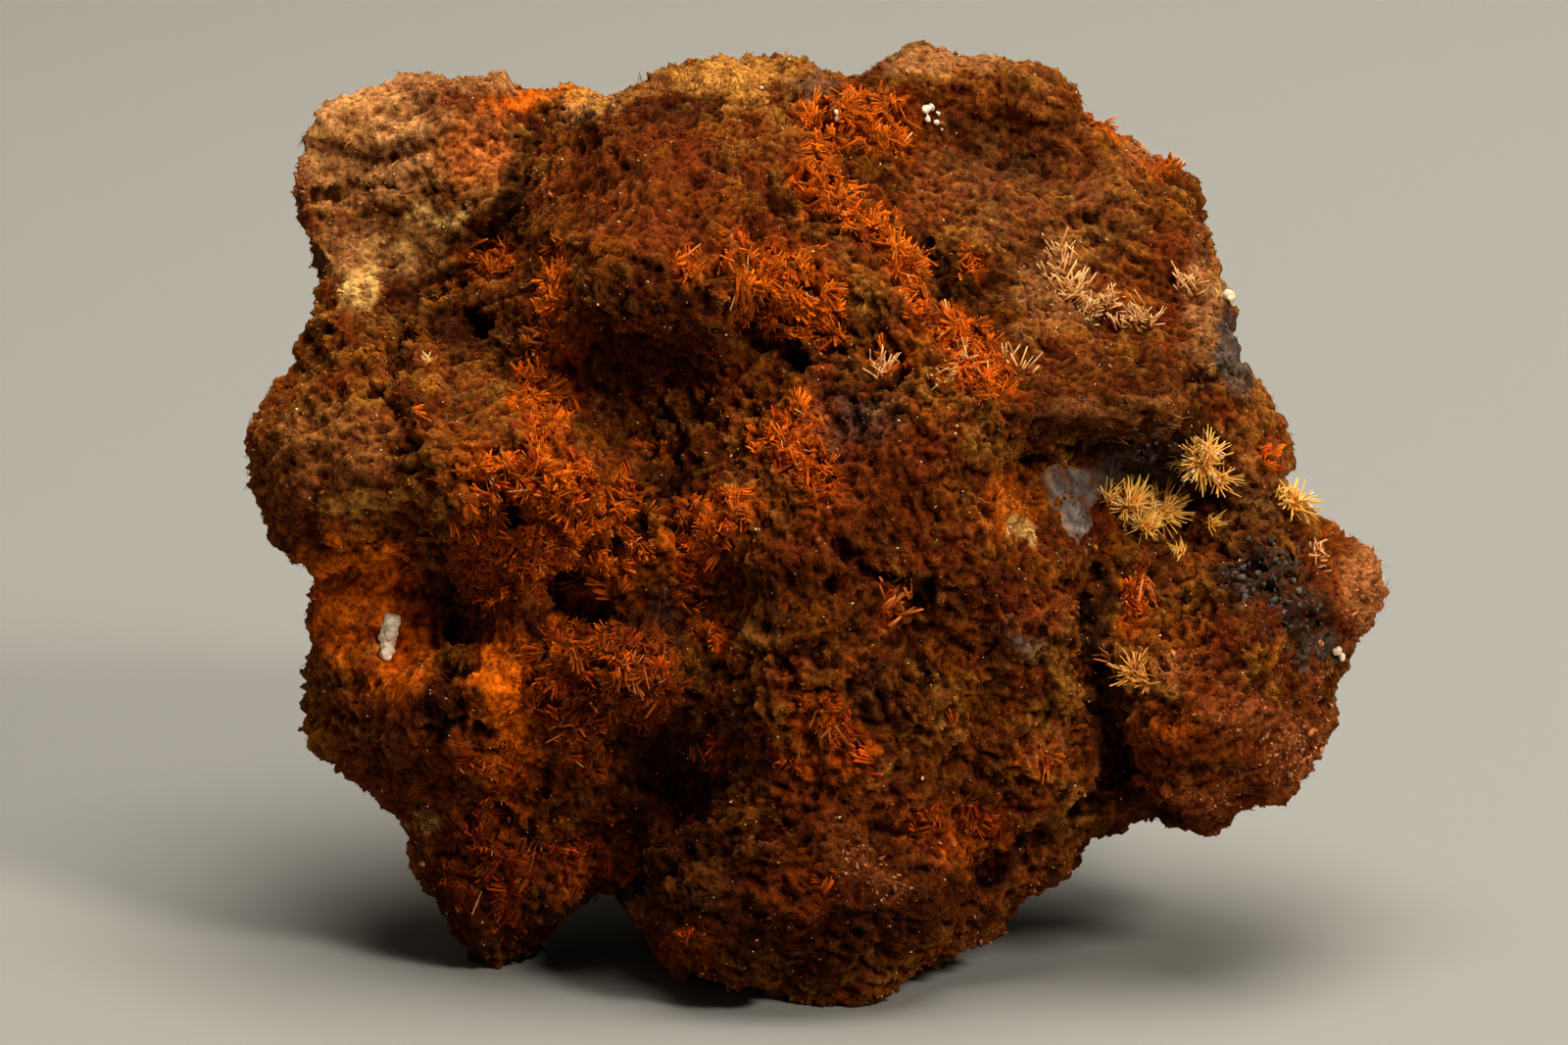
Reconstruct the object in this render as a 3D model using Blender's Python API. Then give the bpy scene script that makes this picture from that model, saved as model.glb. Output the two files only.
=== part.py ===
"""A hand specimen of limonite gossan with parahopeite: one lumpy stone, the iron-stained
crusts of bladed crystals that line its hollows, the tan sprays of needles, and three pale grains.

The stone is shaped in the view it is shown in: u runs right, v up and w away from the viewer,
in millimetres, with the lowest point of the front foot at 0, 0, 0. That view looks down at the
stone by VIEW_TILT, so the last step turns it upright and sets it flat on its feet at z = 0.
"""

import math
import random

import bmesh
import bpy
import numpy as np
from mathutils import Matrix, Vector, noise
from mathutils.bvhtree import BVHTree

MM = 0.001

# The view that the stone is shaped in
VIEW_TILT = math.radians(12.0)
VIEW_DISTANCE = 260.0
VIEW_CENTRE = (0.0, 15.5)

# The stone, in mm
CENTRE = (0.5, 15.0)
FRONT_REACH = 4.6
BACK_REACH = 12.5
SQUARENESS = 0.72
STONE_TRIANGLES = 3300
VOXEL = 0.4
LUMP_SIZE, LUMP_HEIGHT = 4.2, 0.7
COBBLE_SIZE, COBBLE_HEIGHT = 2.4, 0.6
GRAIN_SIZE, GRAIN_HEIGHT = 1.1, 0.22
FOOT_BAND = 0.35

# The gap that parts leave round each other, and the blades and needles, in mm
GAP = 0.3
CLEAR = 0.08
CRUST_HALF_DEPTH, CRUST_SINK = 0.85, 0.45

# The stone's outline as the view shows it, clockwise from the left, as (u, v)
OUTLINE = (
    (-17.9, 18.5), (-17.6, 19.1), (-16.9, 20.0), (-16.1, 21.0), (-15.8, 22.0), (-15.5, 23.0),
    (-15.6, 23.7), (-16.3, 25.4), (-16.3, 26.4), (-15.9, 28.4), (-15.5, 29.3), (-14.5, 29.7),
    (-12.1, 30.4), (-8.5, 30.5), (-7.4, 30.3), (-5.9, 29.8), (-4.6, 29.9), (-3.1, 30.6),
    (-1.8, 30.8), (-0.8, 30.6), (0.9, 30.8), (2.0, 30.2), (2.7, 30.7), (3.7, 31.1), (5.4, 31.1),
    (8.1, 30.6), (9.3, 30.2), (10.2, 29.6), (10.2, 28.8), (11.0, 28.4), (12.4, 27.2), (14.0, 26.7),
    (14.1, 25.6), (14.4, 23.7), (15.1, 22.4), (15.1, 21.3), (15.4, 20.3), (16.3, 19.4),
    (16.9, 17.7), (16.7, 16.7), (17.2, 15.8), (18.4, 15.6), (18.7, 15.0), (19.6, 14.6),
    (19.9, 13.8), (19.8, 12.8), (19.5, 12.0), (18.8, 11.5), (18.2, 9.8), (18.2, 8.9), (17.3, 7.4),
    (16.6, 6.3), (15.0, 5.7), (13.4, 5.2), (11.9, 5.5), (11.2, 5.3), (9.8, 4.5), (9.6, 3.8),
    (8.2, 3.1), (7.3, 2.6), (7.2, 2.1), (6.2, 1.6), (4.0, 0.6), (2.7, 0.2), (1.0, 0.0), (-0.7, 0.1),
    (-1.8, 0.4), (-3.3, 0.4), (-4.0, 0.9), (-4.5, 1.5), (-5.1, 2.0), (-5.3, 2.8), (-6.2, 2.8),
    (-6.7, 2.2), (-7.3, 1.8), (-8.0, 1.3), (-9.4, 1.0), (-10.4, 1.3), (-11.1, 2.2), (-11.7, 3.1),
    (-12.3, 4.5), (-12.8, 5.6), (-13.4, 6.3), (-14.3, 7.1), (-15.7, 7.8), (-15.9, 9.8),
    (-15.8, 11.8), (-15.9, 12.9), (-15.8, 14.0), (-16.4, 14.3), (-17.1, 14.8), (-17.4, 16.4),
)

# How far back the outline lies, as (degrees anticlockwise from the right, w)
OUTLINE_DEPTH = (
    (-180, 3.0), (-165, 3.0), (-142, 4.5), (-125, 5.0), (-113, 3.5), (-95, 0.0), (-80, 0.5),
    (-60, 3.0), (-38, 2.5), (-20, 2.0), (-3, 5.0), (8, 2.5), (20, 4.0), (40, 5.0), (60, 4.0),
    (75, 8.0), (85, 7.0), (100, 7.0), (115, 9.0), (130, 9.5), (149, 8.5), (156, 4.0), (180, 3.0),
)

# What stands out of the front (+) or sinks into it (-): u, v, half length, half width,
# degrees of the long axis from the right, height, and how steep its edge is (0 soft, 1 sheer)
FRONT_FORMS = {
    "upper block": (-4.4, 25.4, 4.9, 4.1, -18, 3.4, 0.8),
    "block brow": (-1.4, 28.6, 3.4, 1.2, -14, 0.8, 0.4),
    "crest": (1.7, 25.2, 5.2, 1.7, -54, 1.6, 0.4),
    "crest foot": (5.2, 21.2, 4.2, 1.8, -45, 1.3, 0.3),
    "upper basin": (8.8, 25.2, 6.0, 4.4, -22, -3.0, 0.4),
    "basin hole": (7.0, 27.6, 2.4, 1.5, 10, -1.8, 0.5),
    "basin rim": (12.6, 25.0, 1.5, 4.2, 32, 1.0, 0.3),
    "basin lip": (9.0, 19.4, 5.4, 1.5, 14, 2.0, 0.7),
    "grey step": (10.2, 16.8, 3.9, 1.6, -14, -2.4, 0.8),
    "spray hollow": (13.8, 16.3, 3.4, 2.2, -35, -1.8, 0.5),
    "belly": (2.4, 15.2, 7.5, 5.6, 10, 2.2, 0.1),
    "belly ridge": (6.4, 14.2, 1.8, 4.4, 20, 0.9, 0.3),
    "shade under the block": (-4.0, 19.8, 3.8, 2.0, 12, -2.2, 0.5),
    "gully": (-2.4, 14.0, 1.5, 5.4, -12, -1.6, 0.4),
    "left recess": (-10.2, 22.6, 3.4, 3.4, 20, -2.4, 0.5),
    "rear shelf": (-10.6, 27.0, 5.2, 3.6, 10, -5.0, 0.6),
    "left shoulder": (-14.4, 17.8, 4.8, 3.1, 0, 2.2, 0.6),
    "ochre hollow": (-13.3, 12.7, 3.9, 2.0, -14, -2.9, 0.8),
    "orange bulge": (-8.0, 16.2, 3.6, 3.2, -20, 1.7, 0.4),
    "cave": (-6.6, 13.0, 1.5, 0.9, -40, -2.0, 0.6),
    "lower orange bulge": (-5.6, 10.0, 3.4, 2.5, 10, 1.4, 0.3),
    "dark pillar": (-10.9, 9.0, 2.1, 3.1, 0, 1.5, 0.5),
    "lower shade": (-2.8, 6.9, 3.4, 1.5, -25, -2.1, 0.4),
    "lower lump": (3.2, 8.6, 4.8, 2.5, -15, 1.5, 0.4),
    "foot lump": (1.6, 3.2, 6.0, 3.1, 5, 1.5, 0.5),
    "right cleft": (10.8, 8.8, 4.2, 1.0, 100, -2.6, 0.6),
    "right lump": (14.4, 8.2, 4.0, 3.2, 20, 2.3, 0.5),
    "right knob": (16.0, 13.0, 2.3, 2.5, 0, 1.7, 0.6),
    "knob hollow": (12.6, 12.8, 1.5, 1.8, 60, -1.6, 0.5),
    "left foot": (-9.2, 2.8, 3.6, 2.6, 15, -1.2, 0.5),
    "foot hollow": (-6.0, 4.2, 1.9, 2.0, 0, -2.2, 0.6),
}

# The same on the back, as the viewer would see it through the stone
BACK_FORMS = {
    "rear left lump": (-10.0, 24.0, 5.4, 4.6, 10, 2.4, 0.4),
    "rear top lump": (5.5, 25.5, 4.8, 3.4, 0, 1.8, 0.4),
    "rear valley": (-2.5, 21.5, 2.2, 6.0, -25, -2.6, 0.3),
    "rear belly": (6.0, 14.0, 6.0, 5.0, 30, 1.8, 0.5),
    "rear bite": (-8.0, 13.5, 4.6, 3.4, -15, -2.8, 0.6),
    "rear low ledge": (-3.0, 7.0, 6.5, 2.2, 8, 1.8, 0.6),
    "rear right cleft": (13.0, 17.0, 1.6, 4.6, 15, -1.9, 0.4),
}

# Rounded masses grown into the stone: centre x, y, z and radii, upright
MASSES = {
    "front foot": ((0.6, -0.4, 3.6), (5.6, 3.8, 4.0)),
    "left foot": ((-9.2, 4.8, 3.3), (3.6, 3.6, 4.1)),
    "rear foot": ((2.4, 11.6, 4.2), (4.6, 4.4, 5.0)),
    "rear left mass": ((-9.0, 15.5, 22.0), (6.4, 4.6, 6.0)),
    "rear right mass": ((7.5, 14.5, 19.0), (6.6, 4.4, 7.0)),
    "right end": ((16.0, 6.0, 10.4), (3.6, 3.6, 3.0)),
}

# Crusts of orange blades: u, v, half length, half width, degrees of the long axis
ORANGE_CRUSTS = {
    "orange_crust_top": (2.3, 28.6, 1.5, 1.0, 10),
    "orange_crust_ridge": (2.9, 25.0, 2.6, 0.85, -55),
    "orange_crust_face": (0.3, 23.1, 1.7, 1.3, 30),
    "orange_crust_basin": (6.4, 21.3, 1.6, 1.2, -50),
    "orange_crust_left": (-8.2, 16.3, 2.7, 2.1, -25),
    "orange_crust_middle": (-2.2, 15.6, 2.0, 1.1, 75),
    "orange_crust_lower": (-5.8, 10.2, 2.4, 1.8, 20),
}

# Sprays of needles: the (u, v) of each centre, and the needles' length
NEEDLE_SPRAYS = {
    "tan_spray_upper": (((13.7, 17.0),), 1.0),
    "tan_spray_twin": (((11.1, 15.6), (12.2, 15.2)), 1.0),
    "tan_spray_edge": (((16.5, 15.8),), 0.8),
    "tan_spray_low": (((11.7, 10.5),), 0.8),
    "cream_spray_left": (((9.2, 23.3),), 0.95),
    "cream_spray_right": (((10.9, 22.2),), 0.95),
    "cream_spray_basin": (((3.9, 20.3),), 0.75),
    "rust_spray": (((3.5, 12.8),), 0.8),
}

# Pale grains lodged in the stone: u, v, half length, half width, degrees of the long axis
PALE_GRAINS = {
    "pale_grain_left": (-12.9, 11.8, 0.85, 0.36, 80),
    "pale_grain_top": (4.8, 28.7, 0.5, 0.34, -60),
    "pale_grain_right": (18.0, 11.3, 0.32, 0.26, 30),
}

COLOURS = {
    "limonite": (0.105, 0.044, 0.014),
    "orange crust": (0.42, 0.105, 0.012),
    "tan crystal": (0.66, 0.40, 0.15),
    "cream crystal": (0.70, 0.47, 0.30),
    "rust crystal": (0.45, 0.14, 0.04),
    "pale grain": (0.78, 0.71, 0.60),
}


def clear_scene():
    for old in list(bpy.data.objects):
        bpy.data.objects.remove(old)


def make_material(name, roughness):
    made = bpy.data.materials.new(name)
    made.use_nodes = True
    shader = made.node_tree.nodes["Principled BSDF"]
    shader.inputs["Base Color"].default_value = (*COLOURS[name], 1.0)
    shader.inputs["Roughness"].default_value = roughness
    shader.inputs["Metallic"].default_value = 0.0
    made.diffuse_color = (*COLOURS[name], 1.0)
    return made


def make_object(name, points, faces, material=None):
    """A mesh object from points in millimetres."""
    mesh = bpy.data.meshes.new(name)
    mesh.from_pydata([tuple(p) for p in np.asarray(points) * MM], [], [tuple(f) for f in faces])
    mesh.update()
    made = bpy.data.objects.new(name, mesh)
    bpy.context.scene.collection.objects.link(made)
    if material:
        mesh.materials.append(material)
    return made


def points_of(mesh):
    """A mesh's points in millimetres."""
    flat = np.empty(len(mesh.vertices) * 3)
    mesh.vertices.foreach_get("co", flat)
    return flat.reshape(-1, 3) / MM


def normals_of(mesh):
    flat = np.empty(len(mesh.vertices) * 3)
    mesh.vertices.foreach_get("normal", flat)
    return flat.reshape(-1, 3)


def set_points(mesh, points):
    mesh.vertices.foreach_set("co", (points * MM).astype(np.float32).ravel())
    mesh.update()


def keep_modified(obj):
    """Makes what the modifiers show the object's own mesh, its points in order of place."""
    graph = bpy.context.evaluated_depsgraph_get()
    graph.update()
    made = bpy.data.meshes.new_from_object(obj.evaluated_get(graph))
    obj.modifiers.clear()
    points = np.round(points_of(made), 5)
    order = np.lexsort(points.T)
    place = np.empty(len(order), int)
    place[order] = np.arange(len(order))
    faces = []
    for face in made.polygons:
        corners = [int(place[k]) for k in face.vertices]
        first = corners.index(min(corners))
        faces.append(tuple(corners[first:] + corners[:first]))
    sorted_mesh = bpy.data.meshes.new(obj.name)
    sorted_mesh.from_pydata([tuple(p) for p in points[order] * MM], [], sorted(faces))
    sorted_mesh.update()
    for material in made.materials:
        sorted_mesh.materials.append(material)
    obj.data = sorted_mesh


def smooth_step(low, high, value):
    """0 up to low and 1 from high on, or the other way round where high is the smaller."""
    t = np.clip((value - low) / (high - low), 0.0, 1.0)
    return t * t * (3.0 - 2.0 * t)


def to_world(points):
    """View millimetres to upright millimetres."""
    u, v, w = np.asarray(points, float).T
    y = v * math.sin(VIEW_TILT) + w * math.cos(VIEW_TILT)
    z = v * math.cos(VIEW_TILT) - w * math.sin(VIEW_TILT)
    return np.column_stack((u, y, z))


def to_view(points):
    x, y, z = np.asarray(points, float).T
    v = y * math.sin(VIEW_TILT) + z * math.cos(VIEW_TILT)
    w = y * math.cos(VIEW_TILT) - z * math.sin(VIEW_TILT)
    return np.column_stack((x, v, w))


def outline_reach(angles):
    """The outline's distance from CENTRE, and its depth, at these angles in radians."""
    around = np.array(OUTLINE) - CENTRE
    at = np.arctan2(around[:, 1], around[:, 0])
    order = np.argsort(at)
    reach = np.interp(angles, at[order], np.hypot(*around.T)[order], period=2 * math.pi)
    degrees, depth = np.array(OUTLINE_DEPTH).T
    return reach, np.interp(np.degrees(angles), degrees, depth)


def stone_ball():
    """A closed ball drawn out to the outline, and to the front and the back."""
    ball = bmesh.new()
    bmesh.ops.create_icosphere(ball, subdivisions=7, radius=1.0)
    unit = np.array([v.co for v in ball.verts])
    faces = [tuple(v.index for v in f.verts) for f in ball.faces]
    ball.free()
    across = np.hypot(unit[:, 0], unit[:, 1])
    angle = np.arctan2(unit[:, 1], unit[:, 0])
    sharp, depth = outline_reach(angle)
    turns = np.radians(np.linspace(-24.0, 24.0, 13))
    soft = np.mean([outline_reach((angle + t + math.pi) % math.tau - math.pi)[0] for t in turns], axis=0)
    reach = sharp + (soft - sharp) * smooth_step(0.1, 0.55, np.abs(unit[:, 2]))
    away = np.abs(unit[:, 2]) ** SQUARENESS
    w = depth * across**2 + np.where(unit[:, 2] < 0, -FRONT_REACH, BACK_REACH) * away
    u = CENTRE[0] + reach * across * np.cos(angle)
    v = CENTRE[1] + reach * across * np.sin(angle)
    facing = smooth_step(0.04, 0.3, np.abs(unit[:, 2]))
    front = unit[:, 2] < 0
    w -= np.where(front, facing, 0.0) * relief(u, v, FRONT_FORMS)
    w += np.where(front, 0.0, facing) * relief(u, v, BACK_FORMS)
    return to_world(np.column_stack((u, v, w))), faces


def stone_masses():
    """The stone's ball and the rounded masses that it is grown together from."""
    parts = [stone_ball()]
    for centre, radii in MASSES.values():
        points, faces = ball(Vector(), 1.0, 4)
        parts.append((np.array(points) * radii + centre, faces))
    return joined(parts)


def relief(u, v, forms):
    """The summed height of the forms at each (u, v)."""
    height = np.zeros_like(u)
    for at_u, at_v, along, across, degrees, rise, steep in forms.values():
        turn = math.radians(degrees)
        du, dv = u - at_u, v - at_v
        far = np.hypot(
            (du * math.cos(turn) + dv * math.sin(turn)) / along,
            (dv * math.cos(turn) - du * math.sin(turn)) / across,
        )
        height += rise * (1.0 - smooth_step(0.8 * steep, 1.35 - 0.15 * steep, far))
    return height


def rough_height(point):
    """How far the broken surface stands out at a point: lumps, cobbles with cracks, grains."""
    spot = Vector(point)
    apart = (Vector(), Vector((31.4, 0.0, 0.0)), Vector((0.0, 47.1, 0.0)))
    bent = spot + 1.1 * Vector([noise.noise(spot / 3.0 + far) for far in apart])
    lump = noise.fractal(bent / LUMP_SIZE, 0.9, 2.0, 3)
    near = noise.voronoi(bent / COBBLE_SIZE)[0]
    crack = min(1.0, (near[1] - near[0]) / 0.45) - 0.62
    grain = noise.ridged_multi_fractal(bent / GRAIN_SIZE, 0.8, 2.1, 2, 1.0, 2.0) - 0.9
    return LUMP_HEIGHT * lump + COBBLE_HEIGHT * crack + GRAIN_HEIGHT * grain


def roughen(mesh):
    points, normals = points_of(mesh), normals_of(mesh)
    rise = np.array([rough_height(p) for p in points])
    set_points(mesh, points + normals * rise[:, None])


def fit_outline(points):
    """Draws the stone in or out, in the view, until the eye sees the stated outline."""
    bins = 720
    edges = np.linspace(-math.pi, math.pi, bins, endpoint=False)
    target, rim = outline_reach(edges)
    for _ in range(4):
        view = to_view(points)
        near = VIEW_DISTANCE / (VIEW_DISTANCE + view[:, 2])
        seen = VIEW_CENTRE + (view[:, :2] - VIEW_CENTRE) * near[:, None] - CENTRE
        angle, far = np.arctan2(seen[:, 1], seen[:, 0]), np.hypot(*seen.T)
        slot = np.floor((angle + math.pi) / (2 * math.pi) * bins).astype(int) % bins
        shown = np.zeros(bins)
        np.maximum.at(shown, slot, far)
        shown = np.max([np.roll(shown, k) for k in range(-3, 4)], axis=0)
        ratio = np.mean([np.roll(target / shown, k) for k in range(-3, 4)], axis=0)
        broad = np.mean([np.roll(target / shown, k) for k in range(-25, 26)], axis=0)
        from_rim = np.abs(view[:, 2] - np.interp(angle, edges, rim, period=2 * math.pi))
        fine = smooth_step(7.0, 3.0, from_rim)
        grow = fine * np.interp(angle, edges, ratio, period=2 * math.pi)
        grow += (1.0 - fine) * np.minimum(1.0, np.interp(angle, edges, broad, period=2 * math.pi))
        edge = smooth_step(0.55, 0.95, far / np.interp(angle, edges, shown, period=2 * math.pi))
        new = far * (1.0 + (grow - 1.0) * edge)
        limit = np.interp(angle, edges, target, period=2 * math.pi) * (1.0 - 0.05 * (1.0 - fine))
        new = np.minimum(new, limit)
        moved = seen * (new / np.maximum(far, 1e-9))[:, None] + CENTRE - VIEW_CENTRE
        moved = moved / near[:, None] + VIEW_CENTRE
        points = to_world(np.column_stack((moved, view[:, 2])))
    return points


def stand_on_feet(points):
    """Flattens whatever reaches down to z = 0."""
    points[points[:, 2] < FOOT_BAND, 2] = 0.0
    return points


def remesh(obj, voxel):
    step = obj.modifiers.new("even faces", "REMESH")
    step.mode = "VOXEL"
    step.voxel_size = voxel * MM
    step.adaptivity = 0.0
    keep_modified(obj)


def make_stone(material):
    stone = make_object("limonite_matrix", *stone_masses(), material)
    remesh(stone, VOXEL)
    roughen(stone.data)
    set_points(stone.data, stand_on_feet(fit_outline(points_of(stone.data))))
    remesh(stone, VOXEL)
    set_points(stone.data, stand_on_feet(points_of(stone.data)))
    fewer = stone.modifiers.new("broad faces", "DECIMATE")
    fewer.ratio = STONE_TRIANGLES / (2 * len(stone.data.polygons))
    keep_modified(stone)
    set_points(stone.data, stand_on_feet(points_of(stone.data)))
    return stone


class Surface:
    """The stone as the crystals meet it: what a line of sight hits, and how near a point is."""

    def __init__(self, stone):
        graph = bpy.context.evaluated_depsgraph_get()
        graph.update()
        self.tree = BVHTree.FromObject(stone, graph)

    def seen_at(self, u, v):
        """The point and outward direction that the view shows at (u, v), in mm."""
        eye = np.array([*VIEW_CENTRE, -VIEW_DISTANCE])
        start, aim = to_world([eye, (u, v, 0.0)])
        hit, normal, _, _ = self.tree.ray_cast(Vector(start) * MM, Vector(aim - start).normalized())
        return (hit / MM, normal) if hit else (None, Vector())

    def below(self, point, normal, reach=6.0):
        """Where a line down the normal meets the stone, or the point itself."""
        hit = self.tree.ray_cast((point + normal * reach) * MM, -normal, 2 * reach * MM)[0]
        return point if hit is None else hit / MM

    def gap_to(self, point):
        """The distance from the stone in mm, negative inside it."""
        near, normal, _, far = self.tree.find_nearest(point * MM)
        return math.copysign(far / MM, (point * MM - near).dot(normal))


def smoothed_normal(surface, u, v, spread=0.6):
    """The direction that the stone faces round (u, v), over its small lumps."""
    around = [(0, 0), (spread, 0), (-spread, 0), (0, spread), (0, -spread)]
    return sum((surface.seen_at(u + du, v + dv)[1] for du, dv in around), Vector()).normalized()


def axes_about(normal, degrees):
    """Two directions across the normal, the first turned by degrees in the view."""
    right = to_world([(math.cos(math.radians(degrees)), math.sin(math.radians(degrees)), 0.0)])[0]
    along = Vector(right)
    along = (along - along.dot(normal) * normal).normalized()
    return along, normal.cross(along)


def bent_lens(surface, spot):
    """How a lens lies on the stone round spot: a function from its own millimetres to place."""
    u, v, length, width, degrees = spot
    centre, normal = surface.seen_at(u, v)[0], smoothed_normal(surface, u, v)
    along, across = axes_about(normal, degrees)

    def bend(way, far):
        """The stone's mean fall or rise to both sides, over the square of the distance."""
        feet = [surface.below(centre + way * side * far, normal) - centre for side in (-1, 1)]
        return max(-0.9, min(0.9, sum(foot.dot(normal) for foot in feet) / 2)) / far**2

    bend_along, bend_across = bend(along, length), bend(across, width)

    def place(x, y, z):
        angle = math.atan2(y, x)
        ragged = 1.0 + 0.1 * math.sin(2 * angle + u) + 0.08 * math.sin(3 * angle + v)
        x, y = x * ragged, y * ragged
        rise = z - CRUST_SINK + bend_along * x * x + bend_across * y * y
        return centre + along * x + across * y + normal * rise

    return place, normal


def lens(place, length, width, depth, rng=None):
    """A faceted lens, rough on top where rng is given."""
    unit, faces = ball(Vector(), 1.0, 2)
    points = []
    for p in unit:
        rough = rng.uniform(-0.16, 0.16) if rng and p.z > 0.2 else 0.0
        points.append(place(p.x * length, p.y * width, p.z * depth + rough))
    return points, faces


def crystal(base, direction, length, width, thickness, rng):
    """A flat-sided lath with a slanting end, as eight points and twelve faces."""
    side = direction.orthogonal().normalized()
    side.rotate(Matrix.Rotation(rng.uniform(0, math.tau), 3, direction))
    flat = direction.cross(side)
    slant = rng.uniform(0.2, 0.45) * width
    points = []
    for along, taper, lean in ((0.0, 1.0, 0.0), (length, 0.75, slant)):
        for s, f in ((-1, -1), (1, -1), (1, 1), (-1, 1)):
            reach = direction * (along + s * lean)
            points.append(base + reach + side * s * taper * width / 2 + flat * f * taper * thickness / 2)
    faces = [(3, 2, 1, 0), (4, 5, 6, 7)] + [(k, (k + 1) % 4, (k + 1) % 4 + 4, k + 4) for k in range(4)]
    return points, faces


def stands_clear(surface, points, rooted):
    """Whether a crystal's long edges, past their rooted share, keep their distance from the stone."""
    for low, high in zip(points[:4], points[4:]):
        for step in range(7):
            spot = low.lerp(high, rooted + (1.0 - rooted) * step / 6)
            if surface.gap_to(spot) < CLEAR:
                return False
    return True


def tilted(normal, degrees, rng):
    """A direction up to this far from the normal."""
    turned = normal.orthogonal().normalized()
    turned.rotate(Matrix.Rotation(rng.uniform(0, math.tau), 3, normal))
    lean = math.radians(degrees) * math.sqrt(rng.random())
    return (normal * math.cos(lean) + turned * math.sin(lean)).normalized()


def joined(parts):
    """Point and face lists as one list of each."""
    points, faces = [], []
    for some_points, some_faces in parts:
        faces += [tuple(i + len(points) for i in f) for f in some_faces]
        points += list(some_points)
    return points, faces


def grown_together(name, root, crystals, material):
    """The root with its crystals, one closed solid."""
    made = make_object(name, *root, material)
    laths = make_object(name + "_laths", *joined(crystals))
    union = made.modifiers.new("grown together", "BOOLEAN")
    union.operation = "UNION"
    union.solver = "EXACT"
    union.use_self = True
    union.object = laths
    keep_modified(made)
    bpy.data.objects.remove(laths)
    return made


BLADES_PER_LENGTH = 4.2
BLADE_LENGTH, BLADE_WIDTH, BLADE_THICKNESS = (0.9, 1.35), 0.42, 0.17


def make_crust(name, surface, opened, material, rng):
    length, width = ORANGE_CRUSTS[name][2:4]
    place, normal = bent_lens(surface, ORANGE_CRUSTS[name])
    blades, wanted = [], round(BLADES_PER_LENGTH * length)
    for _ in range(40 * wanted):
        if len(blades) == wanted:
            break
        far, angle = 0.85 * math.sqrt(rng.random()), rng.uniform(0, math.tau)
        top = CRUST_HALF_DEPTH * math.sqrt(1.0 - far**2)
        at = place(far * math.cos(angle) * length, far * math.sin(angle) * width, 0.9 * top - 0.3)
        aim, reach = tilted(normal, 55, rng), rng.uniform(*BLADE_LENGTH)
        blade = crystal(at, aim, reach, BLADE_WIDTH, BLADE_THICKNESS, rng)
        if stands_clear(opened, blade[0], 0.2):
            blades.append(blade)
    root = lens(place, length, width, CRUST_HALF_DEPTH, rng)
    return grown_together(name, root, blades, material)


ROOT_RADIUS = 0.3
NEEDLES = 9
NEEDLE_WIDTH = 0.14


def ball(centre, radius, subdivisions=1):
    made = bmesh.new()
    bmesh.ops.create_icosphere(made, subdivisions=subdivisions, radius=radius)
    points = [v.co + centre for v in made.verts]
    faces = [tuple(v.index for v in f.verts) for f in made.faces]
    made.free()
    return points, faces


def spray_roots(name, surface):
    """Each centre of a spray, just under the stone's surface, and the way it faces."""
    found = []
    for u, v in NEEDLE_SPRAYS[name][0]:
        normal = smoothed_normal(surface, u, v)
        found.append((surface.seen_at(u, v)[0] - normal * 0.1, normal))
    return found


def bridge(roots, width, rng):
    """The bar that joins the two roots of a twin spray."""
    apart = roots[1][0] - roots[0][0]
    return crystal(roots[0][0], apart.normalized(), apart.length, width, width, rng)


def make_spray(name, surface, opened, material, rng):
    length = NEEDLE_SPRAYS[name][1]
    roots = spray_roots(name, surface)
    needles = []
    for centre, normal in roots:
        grown = []
        for _ in range(60 * NEEDLES):
            if len(grown) == NEEDLES:
                break
            aim, reach = tilted(normal, 72, rng), length * rng.uniform(0.75, 1.1)
            needle = crystal(centre, aim, reach, NEEDLE_WIDTH, NEEDLE_WIDTH * 0.7, rng)
            if stands_clear(opened, needle[0], (ROOT_RADIUS + 0.2) / reach):
                grown.append(needle)
        needles += grown
    if len(roots) > 1:
        needles.append(bridge(roots, 0.3, rng))
        needles.append(ball(roots[1][0], ROOT_RADIUS))
    return grown_together(name, ball(roots[0][0], ROOT_RADIUS), needles, material)


def make_grain(name, surface, grow=0.0, material=None, rng=None):
    """A pale grain half sunk in the stone: an ellipsoid with a waist, or its socket."""
    u, v, length, width, degrees = PALE_GRAINS[name]
    normal = smoothed_normal(surface, u, v, 0.3)
    centre = surface.seen_at(u, v)[0] + normal * 0.1
    along, across = axes_about(normal, degrees)
    unit, faces = ball(Vector(), 1.0, 2)
    points = []
    for p in unit:
        waist = 1.0 - 0.22 * math.exp(-((p.x - 0.25) ** 2) / 0.03)
        lump = 1.0 + (0.08 * noise.noise(p * 2.3) if rng else 0.0)
        points.append(
            centre
            + along * p.x * (length + grow)
            + (across * p.y + normal * p.z) * (width * (1.0 if grow else waist * lump) + grow)
        )
    return make_object(name if material else name + "_socket", points, faces, material)


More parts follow.
